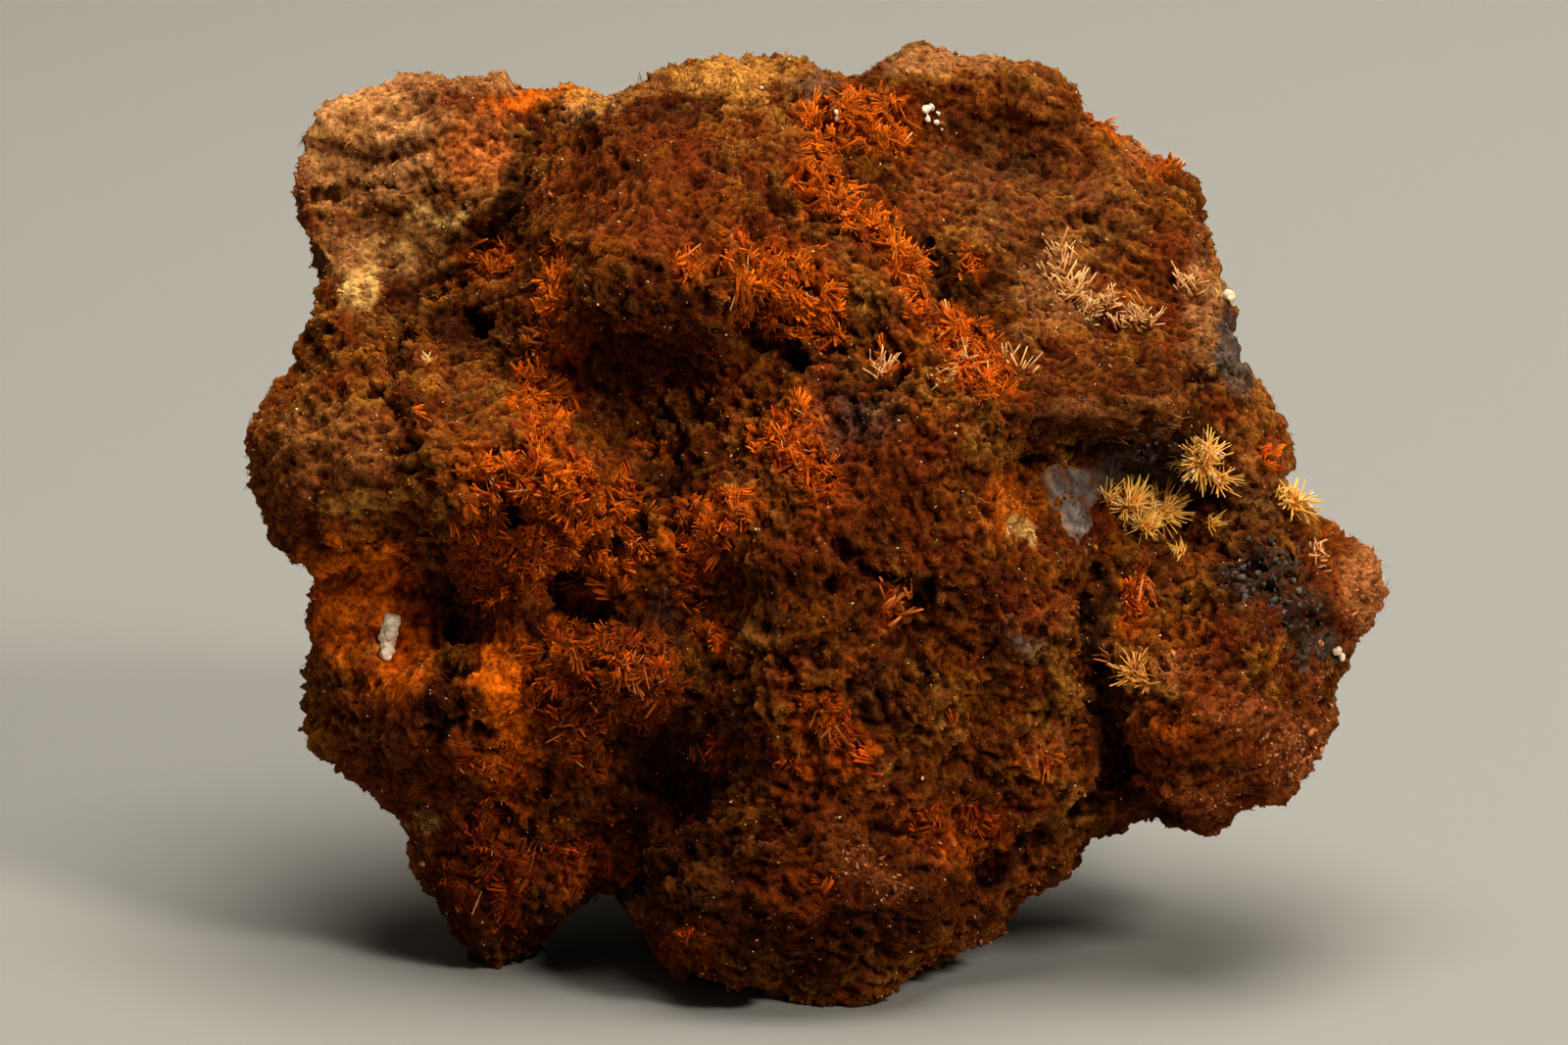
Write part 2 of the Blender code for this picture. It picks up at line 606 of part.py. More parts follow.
def socket_cutters(surface, rng):
    """Everything taken out of the stone so that the crystals seat in it with a gap."""
    cutters = []
    for name, spot in ORANGE_CRUSTS.items():
        length, width = (size + GAP + 0.05 for size in spot[2:4])
        place, _ = bent_lens(surface, spot)
        cutters.append(make_object(name + "_socket", *lens(place, length, width, CRUST_HALF_DEPTH + GAP)))
    for name in NEEDLE_SPRAYS:
        roots = spray_roots(name, surface)
        if len(roots) > 1:
            cutters.append(make_object(f"{name}_channel", *bridge(roots, 0.3 + 2.5 * GAP, rng)))
        for number, (centre, _) in enumerate(roots):
            cutters.append(make_object(f"{name}_socket_{number}", *ball(centre, ROOT_RADIUS + GAP + 0.05)))
    for name in PALE_GRAINS:
        cutters.append(make_grain(name, surface, GAP))
    return cutters


def cut_sockets(stone, cutters):
    for cutter in cutters:
        cut = stone.modifiers.new(cutter.name, "BOOLEAN")
        cut.operation = "DIFFERENCE"
        cut.solver = "EXACT"
        cut.object = cutter
    keep_modified(stone)
    for cutter in cutters:
        bpy.data.objects.remove(cutter)


def crystal_colour(name):
    return {"tan": "tan crystal", "cream": "cream crystal", "rust": "rust crystal"}[name.split("_")[0]]


def build_specimen():
    """The stone first, then everything that grows in its hollows."""
    stone = make_stone(make_material("limonite", 0.9))
    surface = Surface(stone)
    rng = random.Random(7)
    cut_sockets(stone, socket_cutters(surface, rng))
    opened = Surface(stone)
    made = [stone]
    orange = make_material("orange crust", 0.75)
    for name in ORANGE_CRUSTS:
        made.append(make_crust(name, surface, opened, orange, rng))
    tints = {tint: make_material(tint, 0.4) for tint in ("tan crystal", "cream crystal", "rust crystal")}
    for name in NEEDLE_SPRAYS:
        made.append(make_spray(name, surface, opened, tints[crystal_colour(name)], rng))
    pale = make_material("pale grain", 0.6)
    for name in PALE_GRAINS:
        made.append(make_grain(name, surface, 0.0, pale, rng))
    return made


def set_on_base(made):
    """Moves everything so that the box round it all stands centred on the origin.

    The stone's own origin stays there, and each crystal piece's goes to its middle.
    """
    points = np.concatenate([points_of(obj.data) for obj in made])
    low, high = points.min(axis=0), points.max(axis=0)
    shift = np.array([-(low[0] + high[0]) / 2, -(low[1] + high[1]) / 2, -low[2]])
    for obj in made:
        placed = points_of(obj.data) + shift
        middle = np.round(placed.mean(axis=0), 2) if obj is not made[0] else np.zeros(3)
        set_points(obj.data, placed - middle)
        obj.location = Vector(middle) * MM
    return shift


if __name__ == "__main__":
    clear_scene()
    set_on_base(build_specimen())
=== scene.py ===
"""The looks of a parahopeite specimen: a crumbly limonite stone under a felt of fine splinters,
crusts of rust-orange blades, sprays of tan needles, and the pale, pink and black bits between.

Places are given as the photograph shows them, in its pixels, and are brought onto the stone
along the line of sight. Lengths are in millimetres unless a name says otherwise.
"""

import math

import bpy
import numpy as np
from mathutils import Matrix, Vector, noise
from mathutils.bvhtree import BVHTree


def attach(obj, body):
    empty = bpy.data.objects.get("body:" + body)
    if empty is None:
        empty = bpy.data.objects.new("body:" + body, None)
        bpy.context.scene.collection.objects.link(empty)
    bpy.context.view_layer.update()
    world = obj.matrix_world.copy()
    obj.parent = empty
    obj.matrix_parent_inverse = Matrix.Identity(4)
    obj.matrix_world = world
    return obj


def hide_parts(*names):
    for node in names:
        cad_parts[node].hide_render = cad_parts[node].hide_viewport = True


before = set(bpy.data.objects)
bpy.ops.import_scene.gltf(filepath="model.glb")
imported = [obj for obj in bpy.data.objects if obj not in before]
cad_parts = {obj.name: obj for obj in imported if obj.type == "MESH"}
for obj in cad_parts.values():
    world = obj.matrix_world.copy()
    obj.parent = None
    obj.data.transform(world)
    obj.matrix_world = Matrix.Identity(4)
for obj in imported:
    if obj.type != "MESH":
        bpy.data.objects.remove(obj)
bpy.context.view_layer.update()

MM = 0.001

# The view: where the eye is, how far down it looks, and how the picture's pixels lie on it
VIEW_TILT = math.radians(12.0)
VIEW_DISTANCE = 260.0
VIEW_CENTRE = np.array((0.0, 15.5))
STONE_SHIFT = np.array((-1.04775466, -8.90694023, 0.0))
PIXEL = 0.032
PICTURE_MIDDLE = (800.0, 1018.0)
PICTURE_WIDTH = 1600 * PIXEL
CAMERA_SENSOR = 36.0

# Colours, linear
BROWN_DARK = (0.022, 0.0036, 0.0005)
BROWN = (0.094, 0.023, 0.0022)
BROWN_LIGHT = (0.262, 0.094, 0.0115)
RED_BROWN = (0.173, 0.029, 0.0036)
ORANGE = (0.450, 0.069, 0.001)
OCHRE = (0.900, 0.160, 0.003)
YELLOW = (0.505, 0.207, 0.031)
CREAM = (0.684, 0.378, 0.099)
PINK = (0.312, 0.078, 0.018)
DUN = (0.574, 0.248, 0.071)
GREY = (0.104, 0.078, 0.057)
BLACK = (0.018, 0.013, 0.009)
# Painted shade in cracks and under ledges
CRACK_SHADE = (0.012, 0.004, 0.001)
RUST_STAIN = (0.260, 0.065, 0.0022)
DEEP_RED = (0.150, 0.020, 0.0022)
BLADE_SHADED = (0.340, 0.034, 0.0004)
BLADE_LIT = (0.550, 0.103, 0.0015)
DARK_GRAIN = (0.050, 0.034, 0.022)
PINK_GRAIN = (0.28, 0.090, 0.027)
GLINT_SPECK = (0.66, 0.39, 0.17)
PELLET_WHITE = (0.80, 0.66, 0.47)
PELLET_STAIN = (0.7, 0.35, 0.15)
NEEDLE_GLINT, NEEDLE_GLINT_TIP = (0.88, 0.56, 0.22), (0.90, 0.72, 0.42)
TAN, TAN_TIP = (0.97, 0.370, 0.022), (0.97, 0.520, 0.100)
PALE, PALE_TIP = (0.40, 0.120, 0.018), (0.78, 0.420, 0.140)
RUST, RUST_TIP = (0.38, 0.060, 0.003), (0.60, 0.145, 0.010)
HAZEL, HAZEL_TIP = (0.42, 0.110, 0.008), (0.72, 0.300, 0.040)
FLOOR = (0.252, 0.242, 0.211)

# No crystal, fibre or crumb is brighter than this in any of its three primaries
BRIGHTEST = 0.9

# Materials: roughness, shine, grain size, grain depth, how much the colour varies, how lit through
SKINS = {
    "limonite_skin": (0.92, 0.03, 0.2, 0.16, 0.65, 0.0),
    "limonite_fibre": (0.85, 0.06, 0.5, 0.02, 0.2, 0.0),
    "orange_blade": (0.7, 0.06, 0.2, 0.02, 0.35, 0.0),
    "crystal_blade": (0.35, 0.3, 0.3, 0.01, 0.12, 0.05),
    "grey_flake_skin": (0.45, 0.3, 0.35, 0.08, 0.6, 0.0),
    "dark_grain": (0.5, 0.3, 0.2, 0.16, 0.8, 0.0),
    "pale_pellet": (0.55, 0.4, 0.15, 0.02, 0.1, 0.0),
}

# Where the colours lie: pixel x, y, half width, half height, degrees anticlockwise, strength
ORANGE_SPOTS = (
    (550, 500, 82, 40, -15, 1.0), (585, 560, 72, 52, -10, 1.0), (505, 560, 44, 50, 0, 0.9),
    (555, 410, 26, 60, 5, 0.9), (575, 350, 20, 30, 0, 0.6), (502, 268, 24, 22, 0, 0.8),
    (568, 300, 14, 36, 0, 0.9), (800, 300, 48, 46, 0, 1.0), (845, 320, 22, 44, 0, 0.9),
    (745, 262, 26, 30, 0, 0.5), (702, 268, 16, 20, 0, 0.7), (838, 190, 20, 36, 25, 0.9),
    (862, 212, 18, 26, 40, 0.9), (893, 232, 24, 20, -30, 1.0), (926, 270, 18, 24, 40, 0.9),
    (938, 312, 14, 24, 20, 0.7), (985, 360, 30, 42, 25, 1.0), (1010, 378, 26, 30, 20, 0.9),
    (975, 335, 14, 20, 0, 0.8), (905, 368, 26, 18, 0, 0.6), (868, 118, 52, 26, 0, 1.0),
    (905, 140, 30, 20, 0, 0.8), (845, 150, 22, 14, 0, 0.7), (812, 430, 30, 24, 25, 0.8),
    (828, 480, 22, 40, 25, 0.9), (790, 452, 30, 20, 0, 0.7), (715, 540, 30, 38, 0, 1.0),
    (705, 590, 22, 34, 0, 0.8), (735, 645, 20, 24, 0, 0.7), (748, 520, 24, 24, 0, 0.7),
    (610, 660, 66, 26, 0, 0.9), (650, 700, 46, 40, 0, 0.9), (590, 725, 38, 40, 0, 0.9),
    (560, 690, 34, 40, 0, 0.7), (592, 640, 20, 34, -20, 0.9), (600, 770, 36, 24, 0, 0.6),
    (515, 800, 24, 70, -10, 0.7), (495, 880, 46, 42, 0, 0.7), (600, 880, 46, 34, 0, 0.55),
    (470, 770, 24, 22, 0, 0.5), (520, 930, 18, 26, 0, 0.6), (838, 738, 26, 16, -35, 1.0),
    (868, 765, 28, 16, -30, 1.0), (725, 765, 16, 20, 0, 0.9), (820, 780, 20, 12, 0, 0.5),
    (1122, 100, 14, 30, 20, 0.8), (1145, 128, 14, 14, 0, 0.7), (1190, 172, 16, 16, 0, 0.5),
    (990, 268, 20, 12, 0, 0.8), (1158, 612, 12, 30, 0, 0.9), (908, 615, 14, 16, 0, 0.7),
    (1012, 504, 10, 10, 0, 0.5), (625, 510, 26, 40, 0, 0.6), (665, 462, 12, 10, 0, 0.7),
    (412, 580, 20, 26, 0, 0.5), (1290, 470, 30, 20, 0, 0.3), (760, 410, 18, 16, 0, 0.4),
    (980, 845, 60, 26, 0, 0.4), (1060, 770, 30, 24, 0, 0.4), (700, 960, 20, 30, 0, 0.4),
    (820, 905, 40, 30, 0, 0.3), (845, 738, 46, 16, -35, 0.8),
)
OCHRE_SPOTS = (
    (365, 590, 60, 30, 0, 1.0), (408, 660, 36, 54, 0, 1.0), (345, 640, 22, 30, 0, 0.6),
    (482, 160, 34, 40, 0, 0.3), (545, 100, 50, 12, 8, 0.7), (512, 690, 26, 50, 0, 0.8),
    (525, 770, 22, 46, 0, 0.7), (575, 650, 26, 16, 0, 0.6), (968, 868, 26, 22, 0, 0.4),
    (1030, 520, 30, 40, 0, 0.25), (1190, 745, 26, 20, 0, 0.3),
)
# Yellow patches; those along the top edge are also painted light on the lit top.
YELLOW_AND_LIT_TOP_SPOTS = (
    (745, 78, 66, 20, 0, 1.0), (610, 96, 60, 9, 6, 0.8), (361, 517, 34, 17, 0, 0.9),
    (410, 510, 40, 10, 5, 0.35), (380, 655, 18, 12, 0, 0.5), (1172, 696, 20, 14, 0, 0.35),
    (946, 80, 50, 10, 6, 0.35),
)
CREAM_SPOTS = (
    (442, 222, 32, 11, 6, 0.95), (366, 284, 15, 25, -25, 0.85), (1042, 541, 15, 14, 0, 1.0),
    (396, 250, 22, 14, 0, 0.5), (1128, 309, 10, 8, 0, 0.5), (1251, 300, 8, 10, 0, 0.7),
    (436, 838, 10, 9, 0, 0.4),
)
PINK_SPOTS = (
    (1398, 600, 26, 56, 0, 0.7), (1322, 770, 36, 36, 10, 0.8), (1262, 735, 34, 20, 0, 0.5),
    (1230, 812, 40, 22, 0, 0.5), (1075, 765, 24, 22, 0, 0.7), (905, 905, 26, 22, 0, 0.7),
    (960, 870, 30, 20, 0, 0.4), (1000, 950, 40, 16, 0, 0.4), (298, 190, 20, 30, 0, 0.8),
    (430, 860, 16, 30, 0, 0.5), (1163, 160, 18, 16, 0, 0.6), (1200, 680, 20, 16, 0, 0.6),
    (905, 375, 14, 8, 0, 0.6), (1215, 292, 16, 26, 0, 0.4), (560, 190, 10, 12, 0, 0.5),
    (400, 430, 40, 12, 0, 0.3), (870, 880, 24, 30, 20, 0.6), (1350, 700, 12, 50, 0, 0.5),
)
# Dun patches; on the top edge, the rear left lump and the right lump they are also painted light, where the
# top and rear are lit.
DUN_AND_LIT_SPOTS = (
    (360, 130, 84, 70, 0, 1.0), (400, 165, 60, 14, 10, 0.8), (480, 78, 90, 14, 0, 0.6),
    (955, 60, 90, 14, 0, 0.45), (600, 110, 30, 12, 0, 0.5), (1398, 590, 22, 60, 0, 0.6),
    (1230, 320, 20, 70, 0, 0.4), (420, 190, 50, 12, 0, 0.6), (1130, 420, 70, 14, 8, 0.15),
    (1080, 300, 40, 40, 0, 0.3), (1290, 500, 30, 40, 0, 0.3), (390, 250, 70, 34, 0, 0.4),
    (1060, 200, 110, 80, -20, 0.1), (330, 470, 70, 50, 0, 0.12), (480, 160, 40, 50, 0, 0.3),
)
RED_SPOTS = (
    (900, 880, 190, 90, 0, 0.8), (1240, 780, 130, 70, 0, 0.7), (1060, 620, 60, 30, 0, 0.6),
    (330, 490, 80, 60, 0, 0.45), (380, 130, 110, 60, 0, 0.6), (650, 200, 90, 70, 0, 0.7),
    (680, 350, 80, 70, 0, 0.55), (1385, 590, 50, 70, 0, 0.6), (1130, 400, 80, 30, 0, 0.4),
    (640, 820, 110, 90, 0, 0.5), (470, 940, 50, 50, 0, 0.5), (900, 560, 120, 100, 0, 0.3),
    (430, 800, 60, 90, 0, 0.8),
)
# The grey at (1158, 480), under the lip, is partly the stone's grey and partly painted shade.
GREY_SPOTS = (
    (868, 428, 42, 28, 0, 0.25), (1043, 655, 28, 13, -6, 0.6), (1158, 480, 46, 14, -6, 0.8),
    (1262, 355, 16, 38, 8, 0.7), (832, 86, 24, 12, 0, 0.35), (680, 626, 22, 26, 0, 0.2),
    (1352, 662, 26, 14, 0, 0.8), (1264, 610, 9, 9, 0, 0.8),
)
BLACK_SPOTS = (
    (1290, 580, 42, 34, 0, 0.95), (1322, 622, 42, 26, -30, 0.85), (1186, 455, 28, 18, 20, 0.9),
    (1344, 660, 28, 16, 0, 0.6), (1258, 350, 14, 40, 8, 0.7), (1150, 480, 30, 12, 0, 0.6),
)
# Darker places: some dark brown of the stone's own, mostly painted shade in pits, cracks, hollows, under
# ledges, on the low front and at the feet.
DARK_AND_SHADE_SPOTS = (
    (660, 340, 66, 66, 0, 0.7), (690, 480, 26, 40, 0, 0.85), (680, 800, 76, 80, 0, 0.9),
    (482, 326, 30, 24, 0, 0.8), (532, 366, 18, 14, 0, 0.8), (640, 430, 50, 40, 0, 0.5),
    (470, 720, 36, 60, 0, 0.5), (1125, 640, 16, 36, 0, 0.8), (1137, 760, 16, 60, 0, 0.8),
    (1000, 300, 44, 30, 0, 0.5), (1035, 175, 34, 20, 0, 0.4), (545, 970, 60, 24, 0, 0.7),
    (770, 950, 60, 40, 0, 0.3), (478, 950, 60, 44, 0, 0.5), (560, 620, 30, 14, 0, 0.5),
    (930, 600, 40, 14, 0, 0.6), (1060, 600, 50, 18, 0, 0.4), (860, 620, 40, 20, 0, 0.4),
    (770, 345, 22, 22, 0, 0.6), (730, 360, 24, 30, 0, 0.5), (1010, 515, 12, 10, 0, 0.8),
    (1220, 385, 14, 12, 0, 0.8), (1200, 640, 14, 14, 0, 0.4), (800, 590, 60, 50, 0, 0.35),
    (900, 740, 40, 20, 0, 0.3), (980, 800, 60, 20, 0, 0.3), (1250, 600, 16, 30, 0, 0.8),
    (1185, 480, 60, 20, 0, 0.5), (520, 190, 10, 46, 10, 0.95), (502, 258, 12, 26, 20, 0.9),
    (1140, 440, 80, 14, 8, 0.6), (1120, 395, 100, 40, 8, 0.5), (610, 690, 80, 60, 0, 0.35),
    (820, 930, 170, 70, 0, 0.6), (560, 640, 90, 60, 0, 0.3), (430, 430, 14, 60, 10, 0.5),
    (330, 560, 60, 8, 0, 0.6), (700, 112, 50, 18, 0, 0.5), (1150, 850, 60, 14, 20, 0.7),
    (455, 560, 20, 20, 0, 0.6),
)

# Hollows finer than the stone's main forms: the same six values, the last a depth
PITS = (
    (660, 340, 66, 66, 0, 0.35), (482, 326, 12, 11, 0, 0.9), (1035, 172, 26, 10, 20, 0.25),
    (1000, 300, 30, 30, 0, 0.35), (1259, 600, 12, 16, 0, 0.7), (581, 593, 10, 18, -20, 1.1),
    (615, 591, 6, 6, 0, 0.7), (533, 461, 8, 7, 0, 0.7), (600, 575, 8, 8, 0, 0.5),
    (579, 560, 7, 9, 0, 0.5), (1012, 516, 8, 6, 0, 0.6), (1009, 447, 7, 6, 0, 0.5),
    (690, 478, 14, 34, 0, 0.8), (650, 545, 10, 16, 0, 0.6), (680, 790, 66, 70, 0, 0.7),
    (568, 831, 14, 7, 0, 0.9), (537, 862, 10, 22, 0, 0.6), (590, 700, 8, 10, 0, 0.6),
    (488, 760, 10, 12, 0, 0.5), (480, 675, 8, 8, 0, 0.4), (930, 610, 16, 8, 0, 0.6),
    (1190, 640, 8, 8, 0, 0.4), (770, 345, 16, 18, 0, 0.6), (1222, 385, 10, 9, 0, 0.7),
    (530, 366, 12, 8, 0, 0.5), (850, 600, 16, 7, 0, 0.4), (1090, 595, 18, 10, 0, 0.4),
    (560, 440, 8, 6, 0, 0.6), (1282, 574, 7, 7, 0, 0.6), (1312, 562, 6, 8, 0, 0.5),
    (1300, 600, 8, 6, 0, 0.6), (1326, 588, 6, 6, 0, 0.5), (1270, 592, 5, 8, 0, 0.5),
    (540, 470, 7, 9, 0, 0.5), (625, 560, 8, 12, 0, 0.7), (565, 585, 6, 8, 0, 0.6),
    (520, 540, 6, 8, 0, 0.5), (590, 500, 7, 6, 0, 0.5), (640, 720, 7, 8, 0, 0.6),
    (800, 330, 7, 10, 0, 0.6),
)

# Where everything is darker, the same way
SHADE_SPOTS = (
    (640, 720, 90, 120, 0, 0.45), (500, 900, 80, 80, 0, 0.5), (820, 920, 220, 80, 0, 0.42),
    (600, 640, 60, 30, 0, 0.4), (1040, 860, 120, 50, 0, 0.2), (440, 780, 60, 90, 0, 0.35),
    (1265, 770, 80, 50, 0, 0.25), (482, 336, 30, 24, 0, 0.4),
)

# Hollows of the main form that are partly filled with crumbs, the same way
FILLS = (
    (665, 330, 84, 70, 0, 1.1), (372, 610, 56, 60, 0, 1.45), (1035, 170, 60, 34, 10, 0.5),
    (690, 800, 60, 60, 0, 0.3),
)

# Where the surface is felted over and calmer, the same way
CALM_SPOTS = (
    (1060, 190, 140, 90, -20, 1.0), (1160, 270, 70, 60, 0, 0.6), (645, 195, 84, 70, 0, 1.0),
    (1130, 410, 86, 34, 8, 1.0), (320, 470, 80, 80, 0, 0.8), (478, 950, 56, 44, 0, 1.0),
    (370, 130, 90, 60, 0, 0.9), (755, 960, 44, 40, 0, 0.9), (400, 240, 90, 40, 0, 0.7),
    (1390, 590, 36, 60, 0, 0.9), (1270, 780, 80, 60, 0, 0.3), (480, 410, 40, 50, 0, 0.5),
    (900, 540, 60, 60, 0, 0.4), (560, 220, 20, 60, 0, 0.5), (1290, 450, 30, 60, 0, 0.6),
    (950, 70, 100, 20, 0, 0.8),
)

# Where the surface is nearly smooth, the same way
SMOOTH_SPOTS = (
    (360, 130, 100, 80, 0, 0.55), (400, 245, 70, 50, 0, 0.35), (955, 60, 90, 20, 0, 0.4),
)

# Cracks: a line of pixel places, half width in pixels, depth
CRACKS = (
    (((1126, 590), (1116, 640), (1124, 700), (1131, 745), (1143, 805), (1200, 846)), 11, 1.0),
    (((1143, 812), (1090, 835), (1040, 870), (1010, 900)), 9, 0.6),
    (((952, 240), (966, 275), (975, 312), (1010, 320)), 9, 0.6),
    (((822, 375), (780, 350), (768, 300), (775, 270)), 7, 0.5),
    (((640, 908), (700, 870), (760, 850), (800, 835)), 10, 0.6),
    (((455, 640), (452, 700), (470, 745)), 7, 0.4),
    (((700, 590), (740, 560), (760, 600)), 6, 0.35),
    (((858, 560), (900, 590), (950, 600)), 6, 0.4),
    (((330, 345), (380, 372), (420, 365)), 8, 0.4),
    (((1085, 228), (1120, 222), (1140, 205)), 6, 0.4),
    (((300, 100), (360, 120), (440, 105)), 8, 0.3),
    (((300, 150), (380, 165), (430, 150)), 8, 0.35),
    (((310, 200), (370, 190), (430, 195)), 6, 0.3),
)

# Ledges: a line of pixel places with the low side on its right, how deep, and how far it fades
LEDGES = (
    (((1040, 470), (1075, 464), (1139, 454), (1190, 438), (1222, 402)), 0.7, 45),
    (
        ((566, 110), (538, 171), (524, 225), (496, 271), (448, 286), (420, 332), (407, 382), (424, 440)),
        1.5, 42,
    ),
    (((262, 566), (300, 580), (360, 562), (420, 556), (458, 540)), 1.0, 70),
    (((592, 255), (650, 268), (700, 292), (748, 306)), 0.35, 90),
    (((1010, 350), (960, 300), (930, 255), (890, 215), (850, 170), (830, 150)), 0.5, 60),
    (((1096, 556), (1086, 530), (1066, 500), (1058, 480)), 0.35, 50),
    (((445, 620), (440, 700), (480, 800)), 0.5, 40),
    (((990, 640), (1060, 634), (1100, 660)), 0.3, 50),
    (((1378, 665), (1372, 700), (1350, 760), (1325, 820)), 0.4, 40),
    (((735, 660), (770, 700), (830, 700)), 0.4, 70),
)

# The lie of the felt: pixel x, y, reach, degrees anticlockwise from the right
GRAIN_WAYS = (
    (1060, 200, 170, -28), (1120, 380, 110, -18), (960, 480, 120, -55), (900, 650, 140, -70),
    (680, 200, 130, -75), (330, 470, 120, 8), (380, 240, 120, 30), (620, 560, 120, -80),
    (1250, 480, 90, -50), (1280, 740, 120, 25), (830, 900, 170, -20), (430, 800, 140, -75),
    (780, 380, 90, -60),
)

# Voxel sizes: to close the sockets, to carve the hollows, and to roughen; then how many triangles stay
CLOSING_VOXEL = 0.26
CARVING_VOXEL = 0.2
STONE_VOXEL = 0.115
STONE_TRIANGLES = 372000
PELLET_VOXEL = 0.035


# Helpers


def smooth_step(low, high, value):
    """0 up to low and 1 from high on, or the other way round where high is the smaller."""
    t = np.clip((np.asarray(value, float) - low) / (high - low), 0.0, 1.0)
    return t * t * (3.0 - 2.0 * t)


def to_world(points):
    u, v, w = np.asarray(points, float).T
    y = v * math.sin(VIEW_TILT) + w * math.cos(VIEW_TILT)
    z = v * math.cos(VIEW_TILT) - w * math.sin(VIEW_TILT)
    return np.column_stack((u, y, z)) + STONE_SHIFT


def to_view(points):
    x, y, z = (np.asarray(points, float) - STONE_SHIFT).T
    v = y * math.sin(VIEW_TILT) + z * math.cos(VIEW_TILT)
    w = y * math.cos(VIEW_TILT) - z * math.sin(VIEW_TILT)
    return np.column_stack((x, v, w))


def pixels_of(points):
    """Where the picture shows these points."""
    view = to_view(points)
    near = VIEW_DISTANCE / (VIEW_DISTANCE + view[:, 2])
    seen = VIEW_CENTRE + (view[:, :2] - VIEW_CENTRE) * near[:, None]
    return np.column_stack((PICTURE_MIDDLE[0] + seen[:, 0] / PIXEL, PICTURE_MIDDLE[1] - seen[:, 1] / PIXEL))


def ways_to_world(directions):
    """Directions in the view as directions in space."""
    return to_world(directions) - to_world([(0.0, 0.0, 0.0)])


def toward_viewer(normals):
    """1 for a surface that faces the eye, 0 from the side, -1 from behind."""
    y, z = normals[:, 1], normals[:, 2]
    return -(y * math.cos(VIEW_TILT) - z * math.sin(VIEW_TILT))


def spots_at(pixels, spots, soft=0.45):
    """How strongly the listed spots cover each pixel place, from 0 to 1."""
    total = np.zeros(len(pixels))
    for x, y, wide, high, degrees, strength in spots:
        turn = math.radians(degrees)
        dx, dy = pixels[:, 0] - x, y - pixels[:, 1]
        far = np.hypot(
            (dx * math.cos(turn) + dy * math.sin(turn)) / wide,
            (dy * math.cos(turn) - dx * math.sin(turn)) / high,
        )
        total = np.maximum(total, strength * smooth_step(1.0 + soft, 1.0 - soft, far))
    return total


def read_rows(items, field, wide, kind):
    """One field of all the items of a mesh, as rows of this many numbers."""
    flat = np.empty(len(items) * wide, kind)
    items.foreach_get(field, flat)
    return flat.reshape(-1, wide)


def points_of(mesh):
    return read_rows(mesh.vertices, "co", 3, np.float32).astype(float) / MM


def normals_of(mesh):
    return read_rows(mesh.vertices, "normal", 3, np.float32).astype(float)


def set_points(mesh, points):
    mesh.vertices.foreach_set("co", (points * MM).astype(np.float32).ravel())
    mesh.update()


def triangles_of(mesh):
    mesh.calc_loop_triangles()
    return read_rows(mesh.loop_triangles, "vertices", 3, np.int32)


def above_floor(points):
    points[..., 2] = np.maximum(points[..., 2], 0.0)
    return points


def new_mesh(name, points, faces):
    """A mesh from millimetre points and an array of faces that all have as many corners."""
    faces = np.asarray(faces, np.int32)
    points = above_floor(np.array(points, float))
    mesh = bpy.data.meshes.new(name)
    mesh.vertices.add(len(points))
    mesh.vertices.foreach_set("co", (points * MM).astype(np.float32).ravel())
    mesh.loops.add(faces.size)
    mesh.loops.foreach_set("vertex_index", faces.ravel())
    mesh.polygons.add(len(faces))
    mesh.polygons.foreach_set("loop_start", np.arange(0, faces.size, faces.shape[1], dtype=np.int32))
    mesh.update(calc_edges=True)
    return mesh


def add_piece(name, mesh, material, replaced=()):
    piece = bpy.data.objects.new(name, mesh)
    bpy.context.scene.collection.objects.link(piece)
    mesh.materials.append(material)
    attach(piece, "root")
    if replaced:
        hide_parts(*replaced)
    return piece


def smooth_shaded(mesh):
    mesh.polygons.foreach_set("use_smooth", [True] * len(mesh.polygons))


def band_faces(low, high, around):
    """Four-cornered faces between two rings of points, the first points of which are low and high."""
    faces = []
    for k in range(around):
        after = (k + 1) % around
        faces.append((low + k, high + k, high + after, low + after))
    return faces


def halved(faces):
    """Each four-cornered face as two triangles."""
    triangles = []
    for a, b, c, d in faces:
        triangles += [(a, b, c), (a, c, d)]
    return triangles


def paint(mesh, colours):
    """A colour for each point, kept on the mesh."""
    layer = mesh.color_attributes.new(name="tint", type="FLOAT_COLOR", domain="POINT")
    rgba = np.ones((len(colours), 4), np.float32)
    rgba[:, :3] = colours
    layer.data.foreach_set("color", rgba.ravel())


def keep_modified(obj):
    graph = bpy.context.evaluated_depsgraph_get()
    graph.update()
    made = bpy.data.meshes.new_from_object(obj.evaluated_get(graph))
    obj.modifiers.clear()
    obj.data = made


def remesh(obj, voxel):
    step = obj.modifiers.new("even faces", "REMESH")
    step.mode = "VOXEL"
    step.voxel_size = voxel * MM
    step.adaptivity = 0.0
    keep_modified(obj)


def relaxed(mesh, rounds):
    """The points of a mesh, each drawn halfway to the middle of its neighbours, again and again."""
    a, b = read_rows(mesh.edges, "vertices", 2, np.int32).T
    points = points_of(mesh)
    count = np.bincount(a, minlength=len(points)) + np.bincount(b, minlength=len(points))
    for _ in range(rounds):
        total = np.zeros_like(points)
        for axis in range(3):
            total[:, axis] = np.bincount(a, points[b, axis], len(points))
            total[:, axis] += np.bincount(b, points[a, axis], len(points))
        points += 0.5 * (total / count[:, None] - points)
    return points


def unit(vectors):
    return vectors / np.maximum(np.linalg.norm(vectors, axis=1, keepdims=True), 1e-12)


# Materials


